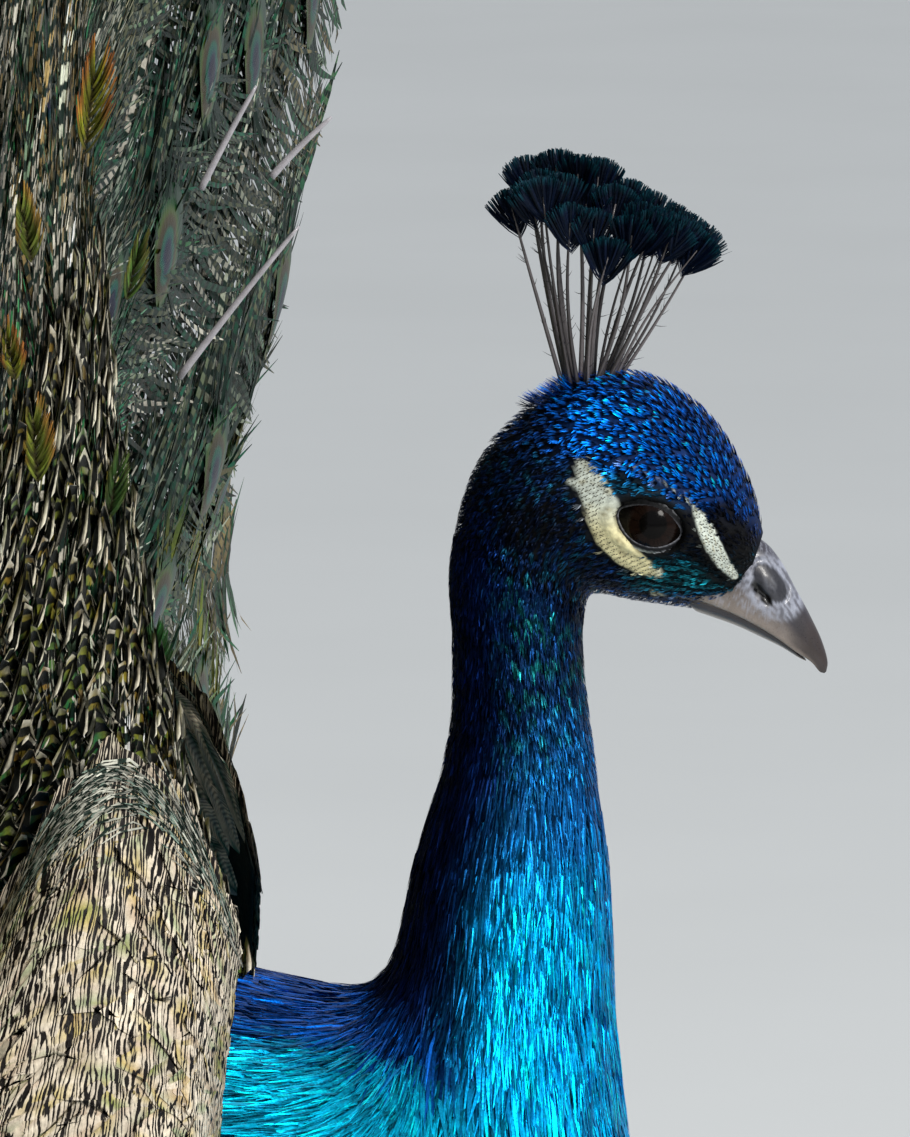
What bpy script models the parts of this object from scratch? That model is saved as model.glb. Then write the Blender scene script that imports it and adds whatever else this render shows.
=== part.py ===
"""A life-size Indian peacock in full display, facing +X, standing on z = 0, as a still museum model.

Lengths in the tables are millimetres and become metres through MM. The bird is symmetric about y = 0.
"""
import math

import bmesh
import bpy
import numpy as np
from mathutils import Matrix, Vector

MM = 0.001
GAP = 0.0003                 # between pieces that touch
CENTRE_X = 148.2             # moves the box's middle onto the origin

# Body stations from the tail end to the bill's base: back point x z, belly point x z, half width, fullness.
# Fullness above 0 widens the side of the back, below 0 the side of the belly.
BODY_STATIONS = (
    (-257, 456, -263, 430, 12, 0.00),
    (-240, 492, -258, 372, 40, -0.05),
    (-206, 514, -228, 316, 66, -0.08),
    (-150, 528, -146, 272, 89, -0.05),
    (-95, 528, -52, 262, 97, 0.00),
    (-62, 523, 26, 288, 92, 0.04),
    (-43, 519, 64, 340, 80, 0.04),
    (-31, 517, 66, 402, 62, 0.02),
    (-22, 518, 46, 460, 43, 0.00),
    (-15, 526, 39, 505, 30, 0.00),
    (-9.5, 550, 37, 546, 23.5, 0.00),
    (-1.5, 578, 33, 575, 17.5, 0.00),
    (-0.5, 600, 30.5, 598, 15.8, 0.00),
    (-1, 622, 31, 609, 16.6, 0.00),
    (6, 646, 33.5, 613.5, 18.0, 0.04),
    (25, 663, 43, 612, 19.2, 0.05),
    (44, 666.5, 53, 610.5, 18.2, 0.02),
    (60, 657, 61, 610, 14.8, -0.02),
    (70, 641, 66, 612, 10.5, -0.04),
    (73.5, 629, 69, 616, 6.0, 0.00),
)
BODY_SIDES = 20
TRUNK_TO_NECK = 9.0          # stations where the body is parted
LOWER_TO_UPPER_NECK = 11.0
NECK_TO_HEAD = 12.6

EYE_PLACE = (46.5, 9.5, 632.5)
EYE_RADIUS = 9.2
EYE_OPENING = (7.9, 4.9)     # half length and half height between the lids
EYE_TILT = 20.0              # degrees down towards the bill

# Bill stations: outer ridge x z, edge of the mouth x z, half width.
UPPER_BILL = (
    (66, 629, 56, 614, 7.4),
    (73, 626.5, 64, 611, 7.1),
    (77.5, 621.5, 71, 607.5, 6.2),
    (81, 615, 76.5, 604, 5.2),
    (84.5, 608.5, 81, 600.5, 3.9),
    (87.5, 602, 85, 597.5, 2.4),
    (88.8, 597, 87, 595, 1.2),
)
LOWER_BILL = (
    (60, 608.6, 56, 613.6, 6.6),
    (67, 606.0, 64, 610.6, 6.0),
    (73, 603.2, 71, 607.1, 5.0),
    (78, 600.7, 76.5, 603.6, 3.8),
    (82, 598.2, 81, 600.1, 2.4),
)
UPPER_BILL_TIP = (88.3, 0, 594.6)
LOWER_BILL_TIP = (83.6, 0, 597.9)

CREST_COUNT = 19
CREST_ROOT = (32.0, 664.0)   # middle of the roots, x z
CREST_ROOT_SPAN = 11.0
CREST_MOUND = (8.8, 5.2, 4.2)  # half sizes of the mound of feathers they rise from
CREST_TIPS = ((12.5, 706), (19.5, 714), (31, 714.5), (42, 708.5), (51, 703), (57.5, 697.5))
CREST_SPREAD = 8.0           # half width of the fan of tips
CREST_SHAFT = 0.45           # shaft radius
CREST_CLUB = (1.2, 5.4, 12.0)  # a tip's half width at its bottom and at its top, and its length

# Wing: upper and lower edge x z from shoulder to tip, and the distance of its middle from y = 0.
WING_STATIONS = (
    (-44, 532, -43, 468, 66),
    (-55, 560, -55, 430, 86),
    (-71, 583, -86, 400, 102),
    (-87, 577, -125, 374, 110),
    (-117, 530, -176, 350, 113),
    (-196, 464, -232, 330, 111),
    (-262, 408, -290, 316, 104),
    (-318, 362, -330, 318, 96),
    (-350, 334, -350, 326, 91),
)
WING_THICKNESS = 15.0
WING_EDGE = 2.4
WING_LEAN = (20, 14, 3)      # how far the upper edge turns in, more along the middle, and both edges
PRIMARY_COUNT = 9
PRIMARY_FIRST = (-130, 363, -212, 206)   # root x z and tip x z of the foremost feather
PRIMARY_LAST = (-282, 309, -392, 290)
PRIMARY_Y = (106, 120)                    # distance from y = 0 at roots and tips
PRIMARY_THICKNESS = 1.6
PRIMARY_BULGE = 18.0         # how far the middle feathers reach down and back past a straight line

FAN_CENTRE_Z = 440.0
FAN_HALF_ANGLE = 95.0        # degrees from straight up to the lowest feathers
FAN_SIDE_LENGTH = 1000.0
FAN_TOP_LENGTH = 1130.0
FAN_SECTORS = 9
FAN_LOBES = 5                # feather tips on the rim of each sector
FAN_LOBE_DEPTH = 26.0
FAN_ROOT_END = 260.0         # where the back's small feathers end and the long ones begin
FAN_THICKNESS = 1.3
FAN_ROOT_START = 45.0        # where the back's small feathers start
FAN_MIDDLE = (-112.0, 62.0, 150.0, 90.0)  # start, drop and its reach, and the top's bend forward
FAN_SIDE = (-50.0, -215.0, 260.0)  # end, sweep back at the root and its reach
FAN_HANG = (76.0, 10.0, 40.0)  # the lowest feathers hang back: from this angle, over this, by this
SCALES_DEPTH = (2.6, 60.0)   # the packed feathers' depth at the outer end, and what the root adds

TAIL_COUNT = 18
TAIL_LENGTH = 420.0
TAIL_HALF_ANGLE = 78.0
TAIL_ROOT = (-254.0, 458.0)
TAIL_THICKNESS = 1.6
TAIL_FORWARD = (84.0, 36.0)  # how far the tips lean forward at the top and at the sides

HIP = (-92, 52, 318)           # x, distance from y = 0, z
THIGH_RADII = (43, 42, 33, 20, 12, 10.8)
SHANK_RADII = (6.0, 8.4, 7.2, 5.6, 5.2, 6.0, 6.8)
FOOT_RADII = (6.9, 8.2, 7.6)
ANKLE = (-127, 46, 158)
FOOT_JOINT = (-110, 46, 19)
TOES = (                     # angle outwards in degrees, length, radius at the root
    ("middle", 3, 66, 5.6),
    ("inner", -30, 47, 5.0),
    ("outer", 33, 50, 5.0),
    ("hind", 172, 24, 4.2),
)
TOE_HEIGHT = 4.6
CLAW_LENGTH = 13.0
CLAW_RADII = (3.0, 2.5, 1.5, 0.6)
SPUR_LENGTH = 26.0
SPUR_RADII = (4.2, 2.8, 0.8)
SPUR_PLACE = 0.62            # share of the shank from the ankle down
SPUR_LINE = (-0.86, -0.42, 0.3)

COLOURS = {                  # base colour, roughness, metallic
    "head_blue": ((0.010, 0.050, 0.200), 0.42, 0.60),
    "neck_blue": ((0.012, 0.070, 0.220), 0.42, 0.60),
    "breast_blue": ((0.020, 0.240, 0.480), 0.40, 0.65),
    "horn": ((0.260, 0.220, 0.220), 0.38, 0.00),
    "claw": ((0.060, 0.050, 0.045), 0.45, 0.00),
    "eye": ((0.020, 0.010, 0.006), 0.05, 0.00),
    "crest": ((0.010, 0.060, 0.085), 0.50, 0.40),
    "wing": ((0.420, 0.370, 0.280), 0.65, 0.00),
    "primaries": ((0.290, 0.110, 0.040), 0.65, 0.00),
    "thigh": ((0.100, 0.075, 0.050), 0.85, 0.00),
    "leg": ((0.230, 0.200, 0.175), 0.60, 0.00),
    "train": ((0.110, 0.150, 0.050), 0.50, 0.45),
    "back_scales": ((0.180, 0.200, 0.050), 0.45, 0.55),
    "tail": ((0.110, 0.085, 0.065), 0.70, 0.00),
}


def clear_scene():
    for item in list(bpy.data.objects):
        bpy.data.objects.remove(item, do_unlink=True)


def collection(name):
    made = bpy.data.collections.new(name)
    bpy.context.scene.collection.children.link(made)
    return made


def material(name):
    colour, roughness, metallic = COLOURS[name]
    made = bpy.data.materials.get(name) or bpy.data.materials.new(name)
    made.use_nodes = True
    shader = made.node_tree.nodes["Principled BSDF"]
    shader.inputs["Base Color"].default_value = (*colour, 1.0)
    shader.inputs["Roughness"].default_value = roughness
    shader.inputs["Metallic"].default_value = metallic
    return made


def spline(table, at):
    """Rows of the table read at fractional row numbers, on a smooth curve through all of them."""
    rows = np.asarray(table, float)
    at = np.clip(np.atleast_1d(np.asarray(at, float)), 0, len(rows) - 1)
    steps = np.diff(rows, axis=0)
    knots = np.concatenate(([0], np.cumsum(np.sqrt(np.linalg.norm(steps, axis=1)))))
    slopes = np.gradient(rows, knots, axis=0)
    low = np.minimum(at.astype(int), len(rows) - 2)
    width = (knots[low + 1] - knots[low])[:, None]
    t = (at - low)[:, None]
    start = rows[low] * (1 + 2 * t) * (1 - t) ** 2 + slopes[low] * width * t * (1 - t) ** 2
    end = rows[low + 1] * t * t * (3 - 2 * t) + slopes[low + 1] * width * t * t * (t - 1)
    return start + end


def place(points):
    """Millimetres in the bird's own frame to metres in the part's frame."""
    points = np.asarray(points, float)
    return (points + (CENTRE_X, 0, 0)) * MM


def link(name, mesh, home, finish):
    made = bpy.data.objects.new(name, mesh)
    home.objects.link(made)
    if finish:
        mesh.materials.clear()
        mesh.materials.append(material(finish))
    return made


def tidy(mesh, triangulate=False):
    """Turn every face outwards and shade the round stretches smooth."""
    work = bmesh.new()
    work.from_mesh(mesh)
    if triangulate:
        bmesh.ops.triangulate(work, faces=work.faces)
    bmesh.ops.recalc_face_normals(work, faces=work.faces)
    if work.calc_volume(signed=True) < 0:
        bmesh.ops.reverse_faces(work, faces=work.faces)
    work.to_mesh(mesh)
    work.free()
    mesh.shade_smooth()
    mesh.set_sharp_from_angle(angle=math.radians(50))


def loft(name, rings, home, finish, first_pole=None, last_pole=None):
    """A closed skin over rings of equal point count, ending in a flat cap or in a single point."""
    rings = np.asarray(rings, float)
    count, sides = rings.shape[:2]
    points = [tuple(point) for point in rings.reshape(-1, 3)]
    faces = []
    for ring in range(count - 1):
        for side in range(sides):
            nxt = (side + 1) % sides
            low, high = ring * sides, (ring + 1) * sides
            faces.append((low + side, low + nxt, high + nxt, high + side))
    for ring, pole in ((0, first_pole), (count - 1, last_pole)):
        base = ring * sides
        if pole is None:
            faces.append(tuple(range(base, base + sides)))
            continue
        points.append(tuple(pole))
        faces += [(base + side, base + (side + 1) % sides, len(points) - 1) for side in range(sides)]
    mesh = bpy.data.meshes.new(name)
    mesh.from_pydata(points, [], faces)
    tidy(mesh)
    return link(name, mesh, home, finish)


def slab(name, front, back, home, finish):
    """A closed solid between two grids of points that share their layout, with a rim all round."""
    front, back = np.asarray(front, float), np.asarray(back, float)
    rows, columns = front.shape[:2]
    far = rows * columns
    cells = [(r * columns + c, r, c) for r in range(rows - 1) for c in range(columns - 1)]
    faces = [(at, at + 1, at + columns + 1, at + columns) for at, r, c in cells]
    faces += [tuple(far + corner for corner in reversed(face)) for face in faces]
    top = [(0, c) for c in range(columns)]
    right = [(r, columns - 1) for r in range(1, rows)]
    bottom = [(rows - 1, c) for c in range(columns - 2, -1, -1)]
    left = [(r, 0) for r in range(rows - 2, 0, -1)]
    rim = [r * columns + c for r, c in top + right + bottom + left]
    faces += [(b, a, far + a, far + b) for a, b in zip(rim, rim[1:] + rim[:1])]
    mesh = bpy.data.meshes.new(name)
    points = np.concatenate((front.reshape(-1, 3), back.reshape(-1, 3)))
    mesh.from_pydata([tuple(point) for point in points], [], faces)
    tidy(mesh)
    return link(name, mesh, home, finish)


def sheet(name, grid, home, finish, thickness):
    """An open grid of points given its thickness, half to each side."""
    grid = np.asarray(grid, float)
    rows, columns = grid.shape[:2]
    faces = [
        (r * columns + c, r * columns + c + 1, (r + 1) * columns + c + 1, (r + 1) * columns + c)
        for r in range(rows - 1)
        for c in range(columns - 1)
    ]
    mesh = bpy.data.meshes.new(name)
    mesh.from_pydata([tuple(point) for point in grid.reshape(-1, 3)], [], faces)
    made = link(name, mesh, home, finish)
    shell = made.modifiers.new("thickness", "SOLIDIFY")
    shell.thickness = thickness * MM
    shell.offset = 0
    baked(made)
    tidy(made.data, triangulate=True)
    return made


def baked(made):
    """Replace the object's mesh by its evaluated one, with the modifiers worked in."""
    graph = bpy.context.evaluated_depsgraph_get()
    graph.update()
    mesh = bpy.data.meshes.new_from_object(made.evaluated_get(graph))
    made.modifiers.clear()
    made.data = mesh
    return made


def tube(name, points, radii, home, finish, resolution=3):
    """A round limb along the points, with its own radius at each, and filled ends."""
    curve = bpy.data.curves.new(name, "CURVE")
    curve.dimensions = "3D"
    curve.bevel_depth = MM
    curve.bevel_resolution = resolution
    curve.use_fill_caps = True
    path = curve.splines.new("POLY")
    path.points.add(len(points) - 1)
    for knot, point, radius in zip(path.points, place(points), radii):
        knot.co = (*point, 1)
        knot.radius = radius
    made = bpy.data.objects.new(name, curve)
    home.objects.link(made)
    graph = bpy.context.evaluated_depsgraph_get()
    graph.update()
    mesh = bpy.data.meshes.new_from_object(made.evaluated_get(graph))
    bpy.data.objects.remove(made, do_unlink=True)
    work = bmesh.new()
    work.from_mesh(mesh)
    bmesh.ops.remove_doubles(work, verts=work.verts, dist=0.00002)
    work.to_mesh(mesh)
    work.free()
    tidy(mesh)
    return link(name, mesh, home, finish)


def combine(made, other, operation, keep_other=False):
    cut = made.modifiers.new("combine", "BOOLEAN")
    cut.operation = operation
    cut.solver = "EXACT"
    cut.object = other
    baked(made)
    if not keep_other:
        bpy.data.objects.remove(other, do_unlink=True)
    return made


def mirrored(made, name, home):
    """The same piece on the other side of y = 0."""
    mesh = made.data.copy()
    mesh.transform(Matrix.Scale(-1, 4, Vector((0, 1, 0))))
    mesh.flip_normals()
    return link(name, mesh, home, None)


def body_rings(stations, grow=0.0):
    """Rings of the body at the given stations: an ellipse from back to belly, fuller on one side."""
    rows = spline(BODY_STATIONS, stations)
    angles = np.linspace(0, 2 * math.pi, BODY_SIDES, endpoint=False)
    back = rows[:, 0:2]
    belly = rows[:, 2:4]
    middle = (back + belly) / 2
    half = (back - belly) / 2
    length = np.linalg.norm(half, axis=1, keepdims=True)
    half = half * (1 + grow / length)
    width = rows[:, 4:5] + grow
    across = width * np.sin(angles) * (1 + rows[:, 5:6] * np.cos(angles))
    x = middle[:, 0:1] + half[:, 0:1] * np.cos(angles)
    z = middle[:, 1:2] + half[:, 1:2] * np.cos(angles)
    return place(np.stack((x, across, z), axis=2))


def body_piece(name, start, end, count, home, finish, grow=0.0):
    """The body between two stations; a cut end stands half a gap back from the cut."""
    rings = body_rings(np.linspace(start, end, count), grow)
    last = len(BODY_STATIONS) - 1
    along = rings[-1].mean(axis=0) - rings[-2].mean(axis=0)
    if end < last:
        rings[-1] -= along / np.linalg.norm(along) * GAP / 2
    along = rings[1].mean(axis=0) - rings[0].mean(axis=0)
    if start > 0:
        rings[0] += along / np.linalg.norm(along) * GAP / 2
    first_pole = rings[0].mean(axis=0) - (2.5 * MM, 0, 0) if start == 0 else None
    last_pole = rings[-1].mean(axis=0) + (1.2 * MM, 0, -0.4 * MM) if end == last else None
    return loft(name, rings, home, finish, first_pole, last_pole)


def bill_piece(name, table, rows, home, tip):
    """Half round over the flat edge of the mouth, tapering to the tip."""
    stations = spline(table, np.linspace(0, len(table) - 1, rows))
    angles = np.linspace(0, math.pi, 9)
    ridge = stations[:, 0:2]
    edge = stations[:, 2:4]
    across = stations[:, 4:5] * np.cos(angles)
    lift = np.sin(angles) ** 0.85
    x = edge[:, 0:1] + (ridge - edge)[:, 0:1] * lift
    z = edge[:, 1:2] + (ridge - edge)[:, 1:2] * lift
    return loft(name, place(np.stack((x, across, z), axis=2)), home, "horn", None, place(tip))


def make_eyes(home, cutters, head):
    """A ball in a socket on each side, seen through an opening that slants down to the bill."""
    x, out, z = EYE_PLACE
    for side, name in ((-1, "eye_right"), (1, "eye_left")):
        centre = Vector(place((x, side * out, z)))
        for radius, label, target in ((EYE_RADIUS, name, home), (EYE_RADIUS + GAP / MM, "socket", cutters)):
            mesh = bpy.data.meshes.new(label)
            work = bmesh.new()
            bmesh.ops.create_uvsphere(work, u_segments=12, v_segments=8, radius=radius * MM)
            bmesh.ops.rotate(work, verts=work.verts, matrix=Matrix.Rotation(math.pi / 2, 3, "X"))
            bmesh.ops.translate(work, verts=work.verts, vec=centre)
            work.to_mesh(mesh)
            work.free()
            tidy(mesh)
            ball = link(label, mesh, target, "eye")
        combine(head, ball, "DIFFERENCE")
        long, high = (half * MM for half in EYE_OPENING)
        depth = 20 * MM
        mesh = bpy.data.meshes.new("opening")
        work = bmesh.new()
        bmesh.ops.create_cone(work, cap_ends=True, segments=16, radius1=1, radius2=1, depth=depth)
        bmesh.ops.scale(work, verts=work.verts, vec=(long, high, 1))
        bmesh.ops.rotate(work, verts=work.verts, matrix=Matrix.Rotation(math.pi / 2, 3, "X"))
        bmesh.ops.rotate(work, verts=work.verts, matrix=Matrix.Rotation(math.radians(EYE_TILT), 3, "Y"))
        bmesh.ops.translate(work, verts=work.verts, vec=centre + Vector((0, side * (depth / 2 + 3 * MM), 0)))
        work.to_mesh(mesh)
        work.free()
        tidy(mesh)
        combine(head, link("opening", mesh, cutters, "eye"), "DIFFERENCE")


def crest_feather(number, home):
    """A thin shaft that widens at its tip into a flattened club of barbs."""
    share = number / (CREST_COUNT - 1)
    tip_x, tip_z = spline(CREST_TIPS, share * (len(CREST_TIPS) - 1))[0]
    side = math.sin(number * 2.4) * CREST_SPREAD
    tip = np.array((tip_x, side, tip_z - 0.06 * side * side))
    root = np.array((CREST_ROOT[0] + (share - 0.5) * CREST_ROOT_SPAN, side * 0.3, CREST_ROOT[1]))
    along = (tip - root) / np.linalg.norm(tip - root)
    wide = np.cross((0, 1, 0), along)
    wide = wide / np.linalg.norm(wide)
    flat = np.cross(along, wide)
    narrow, broad, tall = CREST_CLUB
    angles = np.linspace(0, 2 * math.pi, 7)[:-1] + number * 0.37
    neck = tip - along * tall / 2
    stations = (
        (root, CREST_SHAFT * 1.6, 1),
        (neck, CREST_SHAFT, 1),
        (neck + along * tall * 0.55, (narrow + broad) / 2, 0.55),
        (tip + along * tall * 0.42, broad, 0.5),
    )
    rings = [
        [at + wide * half * math.cos(a) + flat * half * thin * math.sin(a) for a in angles]
        for at, half, thin in stations
    ]
    return loft("crest_feather", place(rings), home, "crest", None, place(tip + along * tall / 2))


def make_crest(home, cutters):
    """Bare shafts that spread from one mound on the crown, each with a club at its tip."""
    mesh = bpy.data.meshes.new("crest")
    work = bmesh.new()
    bmesh.ops.create_uvsphere(work, u_segments=12, v_segments=6, radius=MM)
    bmesh.ops.scale(work, verts=work.verts, vec=CREST_MOUND)
    middle = (CREST_ROOT[0], 0, CREST_ROOT[1] + 1)
    bmesh.ops.translate(work, verts=work.verts, vec=Vector(place(middle)))
    work.to_mesh(mesh)
    work.free()
    tidy(mesh)
    crest = link("crest", mesh, home, "crest")
    for number in range(CREST_COUNT):
        combine(crest, crest_feather(number, cutters), "UNION")
    return crest


def wing_side(home):
    """A leaf that is thick in the middle, cut on its inner side to the shape of the trunk."""
    rows = spline(WING_STATIONS, np.linspace(0, len(WING_STATIONS) - 1, 11))
    across = np.linspace(-1, 1, 7)
    length = np.linspace(0, 1, len(rows))[:, None]
    top, bottom, out = rows[:, 0:2], rows[:, 2:4], rows[:, 4:5]
    blend = (across + 1) / 2
    x = top[:, 0:1] * (1 - blend) + bottom[:, 0:1] * blend
    z = top[:, 1:2] * (1 - blend) + bottom[:, 1:2] * blend
    turned, middle, both = WING_LEAN
    upper = turned + middle * np.sin(math.pi * length ** 0.8)
    lean = upper * np.clip(-across, 0, 1) ** 2 + both * across ** 2
    outer = out - lean
    inner = outer - WING_EDGE - WING_THICKNESS * (1 - across ** 2) * (1 - length) ** 0.6
    front = np.stack((x, outer, z), axis=2)
    rear = np.stack((x, inner, z), axis=2)
    return slab("wing_left", place(front), place(rear), home, "wing")


def primaries_side(home):
    """The drooping flight feathers below the wing, with one rounded tip each."""
    columns = PRIMARY_COUNT * 2 + 1
    share = np.linspace(0, 1, columns)
    notch = np.abs(np.sin(share * PRIMARY_COUNT * math.pi)) ** 0.6
    first, last = np.array(PRIMARY_FIRST, float), np.array(PRIMARY_LAST, float)
    ends = first + (last - first) * share[:, None]
    bulge = PRIMARY_BULGE * np.sin(math.pi * share)
    rows = []
    for along in (0, 0.55, 1):
        reach = along * (0.93 + 0.07 * notch) if along == 1 else along
        x = ends[:, 0] + (ends[:, 2] - ends[:, 0]) * reach - bulge * along
        z = ends[:, 1] + (ends[:, 3] - ends[:, 1]) * reach - bulge * along
        y = np.full(columns, PRIMARY_Y[0] + (PRIMARY_Y[1] - PRIMARY_Y[0]) * along ** 1.5)
        rows.append(np.stack((x, y, z), axis=1))
    return sheet("primaries_left", place(rows), home, "primaries", PRIMARY_THICKNESS)


def fan_front(radius, angle):
    """Forward place of the fan's face: steep over the back, dished at the sides, its top bent forward."""
    start, drop, reach, bend = FAN_MIDDLE
    middle = start + drop * np.exp(-(radius - 80) / reach) + bend * (radius / FAN_TOP_LENGTH) ** 2
    lowest, over, hung = FAN_HANG
    low = np.clip((np.abs(np.degrees(angle)) - lowest) / over, 0, 1)
    hang = hung * low * low * (3 - 2 * low) * radius / FAN_SIDE_LENGTH
    end, sweep, reach = FAN_SIDE
    side = end + sweep * np.exp(-(radius - 60) / reach) - hang
    return middle * np.cos(angle) ** 2 + side * np.sin(angle) ** 2


def fan_points(radius, angle, back=0.0):
    x = fan_front(radius, angle) - back
    return np.stack((x, radius * np.sin(angle), FAN_CENTRE_Z + radius * np.cos(angle)), axis=-1)


def make_train(home):
    """The raised long feathers, as sectors whose rims have one lobe for each feather tip."""
    whole = math.radians(FAN_HALF_ANGLE)
    columns = FAN_LOBES * 2 + 1
    edges = np.linspace(-whole, whole, FAN_SECTORS + 1)
    for number in range(FAN_SECTORS):
        share = np.linspace(0, 1, columns)
        lobe = np.where(np.arange(columns) % 2 == 1, 0.0, 1.0)
        rows = []
        for along in (0, 0.18, 0.5, 1):
            radius = FAN_ROOT_END + 0.3
            slack = 0.4 / (radius + along * (FAN_SIDE_LENGTH - radius))
            angle = edges[number] + slack + share * (edges[number + 1] - edges[number] - 2 * slack)
            rim = FAN_SIDE_LENGTH + (FAN_TOP_LENGTH - FAN_SIDE_LENGTH) * np.cos(angle) ** 2
            rim = rim - FAN_LOBE_DEPTH * lobe
            rows.append(fan_points(radius + along * (rim - radius), angle, FAN_THICKNESS))
        sheet(f"train_{number + 1:02d}", place(rows), home, "train", FAN_THICKNESS)


def make_back_scales(home, trunk_cutter):
    """The packed small feathers of the raised back: a wedge that thins towards the long feathers."""
    whole = math.radians(FAN_HALF_ANGLE)
    angles = np.linspace(-whole, whole, 21)
    front, back = [], []
    for radius in (FAN_ROOT_START, 90, 135, 190, FAN_ROOT_END):
        share = np.clip((radius - 75) / (FAN_ROOT_END - 75), 0, 1)
        deep = SCALES_DEPTH[0] + SCALES_DEPTH[1] * (1 - share) ** 1.5 * np.cos(angles) ** 2
        front.append(fan_points(radius, angles))
        back.append(fan_points(radius, angles, deep))
    scales = slab("back_scales", place(front), place(back), home, "back_scales")
    return combine(scales, trunk_cutter, "DIFFERENCE", keep_other=True)


def make_tail(home, trunk_cutter):
    """The stiff tail feathers, fanned upright behind the train."""
    columns = TAIL_COUNT * 2 + 1
    angles = np.radians(np.linspace(-TAIL_HALF_ANGLE, TAIL_HALF_ANGLE, columns))
    lobe = np.where(np.arange(columns) % 2 == 1, 1.0, 0.955)
    rows = []
    for along in (0.06, 0.5, 1):
        radius = TAIL_LENGTH * along * (lobe if along == 1 else 1.0) * np.ones(columns)
        top, sides = TAIL_FORWARD
        forward = (top * np.cos(angles) ** 2 + sides * np.sin(angles) ** 2) * along ** 0.8
        x = TAIL_ROOT[0] + forward
        rows.append(np.stack((x, radius * np.sin(angles), TAIL_ROOT[1] + radius * np.cos(angles)), axis=1))
    tail = sheet("tail_fan", place(rows), home, "tail", TAIL_THICKNESS)
    return combine(tail, trunk_cutter, "DIFFERENCE", keep_other=True)


def make_leg(home, cutters, trunk_cutter):
    """Feathered thigh, scaly shank with its spur, and a foot of four toes with flat soles."""
    hip, ankle, joint = Vector(HIP), Vector(ANKLE), Vector(FOOT_JOINT)
    limb = [hip.lerp(ankle, share) for share in (0, 0.25, 0.5, 0.72, 0.9, 0.995)]
    thigh = tube("thigh_left", limb, THIGH_RADII, home, "thigh", resolution=3)
    combine(thigh, trunk_cutter, "DIFFERENCE", keep_other=True)
    bone = [ankle.lerp(joint, share) for share in (-0.03, 0.02, 0.12, 0.32, 0.6, 0.85, 0.97)]
    space = [ankle.lerp(joint, -0.033), *bone[1:-1], ankle.lerp(joint, 0.975)]
    girth = np.array(SHANK_RADII)
    shank = tube("shank_left", bone, girth, home, "leg", resolution=2)
    shank_space = tube("shank_space", space, girth + GAP / MM, cutters, None, resolution=2)
    combine(thigh, shank_space, "DIFFERENCE", keep_other=True)
    heel = [joint + Vector(step) for step in ((0, 0, -0.1), (1, 0, -7), (4, 0, -13))]
    foot = tube("foot_left", heel, FOOT_RADII, home, "leg", resolution=2)
    claws = []
    for name, angle, length, root in TOES:
        turn = Matrix.Rotation(math.radians(angle), 3, "Z")
        start = Vector((joint.x, joint.y, TOE_HEIGHT))
        line = turn @ Vector((1, 0, 0))
        reach = [start + line * length * share for share in (0, 0.35, 0.55, 0.96, 1)]
        radii = [root * size for size in (1.05, 0.94, 1.06, 0.9, 0.7)]
        toe = tube("toe", reach, radii, cutters, "leg", resolution=1)
        combine(foot, toe, "UNION")
        claws.append((name, start + line * (length + 0.3), line))
    below = bpy.data.meshes.new("floor")
    work = bmesh.new()
    bmesh.ops.create_cube(work, size=0.4)
    bmesh.ops.translate(work, verts=work.verts, vec=Vector(place((joint.x, joint.y, -200))))
    work.to_mesh(below)
    work.free()
    combine(foot, link("floor", below, cutters, None), "DIFFERENCE")
    made = [thigh, shank, foot]
    for name, start, line in claws:
        curl = ((0, 0), (0.4, 0), (0.75, -1.2), (1, -2.9))
        bend = [start + line * CLAW_LENGTH * share + Vector((0, 0, rise)) for share, rise in curl]
        made.append(tube(f"claw_{name}_left", bend, CLAW_RADII, home, "claw", resolution=1))
    base = ankle.lerp(joint, SPUR_PLACE)
    rear = Vector(SPUR_LINE).normalized()
    lift = Vector((0, 0, 5))
    spike = [base + rear * (3 + SPUR_LENGTH * share) + lift * share ** 2 for share in (0, 0.5, 1)]
    spur = tube("spur_left", spike, SPUR_RADII, home, "claw", resolution=2)
    made.append(combine(spur, shank_space, "DIFFERENCE"))
    return made


def main():
    clear_scene()
    home = collection("peacock")
    cutters = collection("cutters")
    last = len(BODY_STATIONS) - 1

    body_piece("trunk", 0, TRUNK_TO_NECK, 18, home, "breast_blue")
    body_piece("neck_lower", TRUNK_TO_NECK, LOWER_TO_UPPER_NECK, 6, home, "breast_blue")
    body_piece("neck_upper", LOWER_TO_UPPER_NECK, NECK_TO_HEAD, 5, home, "neck_blue")
    head = body_piece("head", NECK_TO_HEAD, last, 16, home, "head_blue")
    grown = GAP / MM + 0.15
    trunk_cutter = body_piece("trunk_space", 0, TRUNK_TO_NECK, 18, cutters, None, grow=grown)
    head_cutter = body_piece("head_space", NECK_TO_HEAD, last, 16, cutters, None, grow=grown)

    upper = bill_piece("bill_upper", UPPER_BILL, 9, home, UPPER_BILL_TIP)
    combine(upper, head_cutter, "DIFFERENCE", keep_other=True)
    lower = bill_piece("bill_lower", LOWER_BILL, 6, home, LOWER_BILL_TIP)
    combine(lower, head_cutter, "DIFFERENCE", keep_other=True)
    make_eyes(home, cutters, head)
    crest = make_crest(home, cutters)
    combine(crest, head_cutter, "DIFFERENCE", keep_other=True)

    wing = wing_side(home)
    combine(wing, trunk_cutter, "DIFFERENCE", keep_other=True)
    primaries = primaries_side(home)
    make_back_scales(home, trunk_cutter)
    make_train(home)
    make_tail(home, trunk_cutter)
    for piece in [wing, primaries, *make_leg(home, cutters, trunk_cutter)]:
        mirrored(piece, piece.name.replace("left", "right"), home)
    for cutter in (trunk_cutter, head_cutter):
        cutter.hide_render = True
        cutter.display_type = "WIRE"


main()
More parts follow.
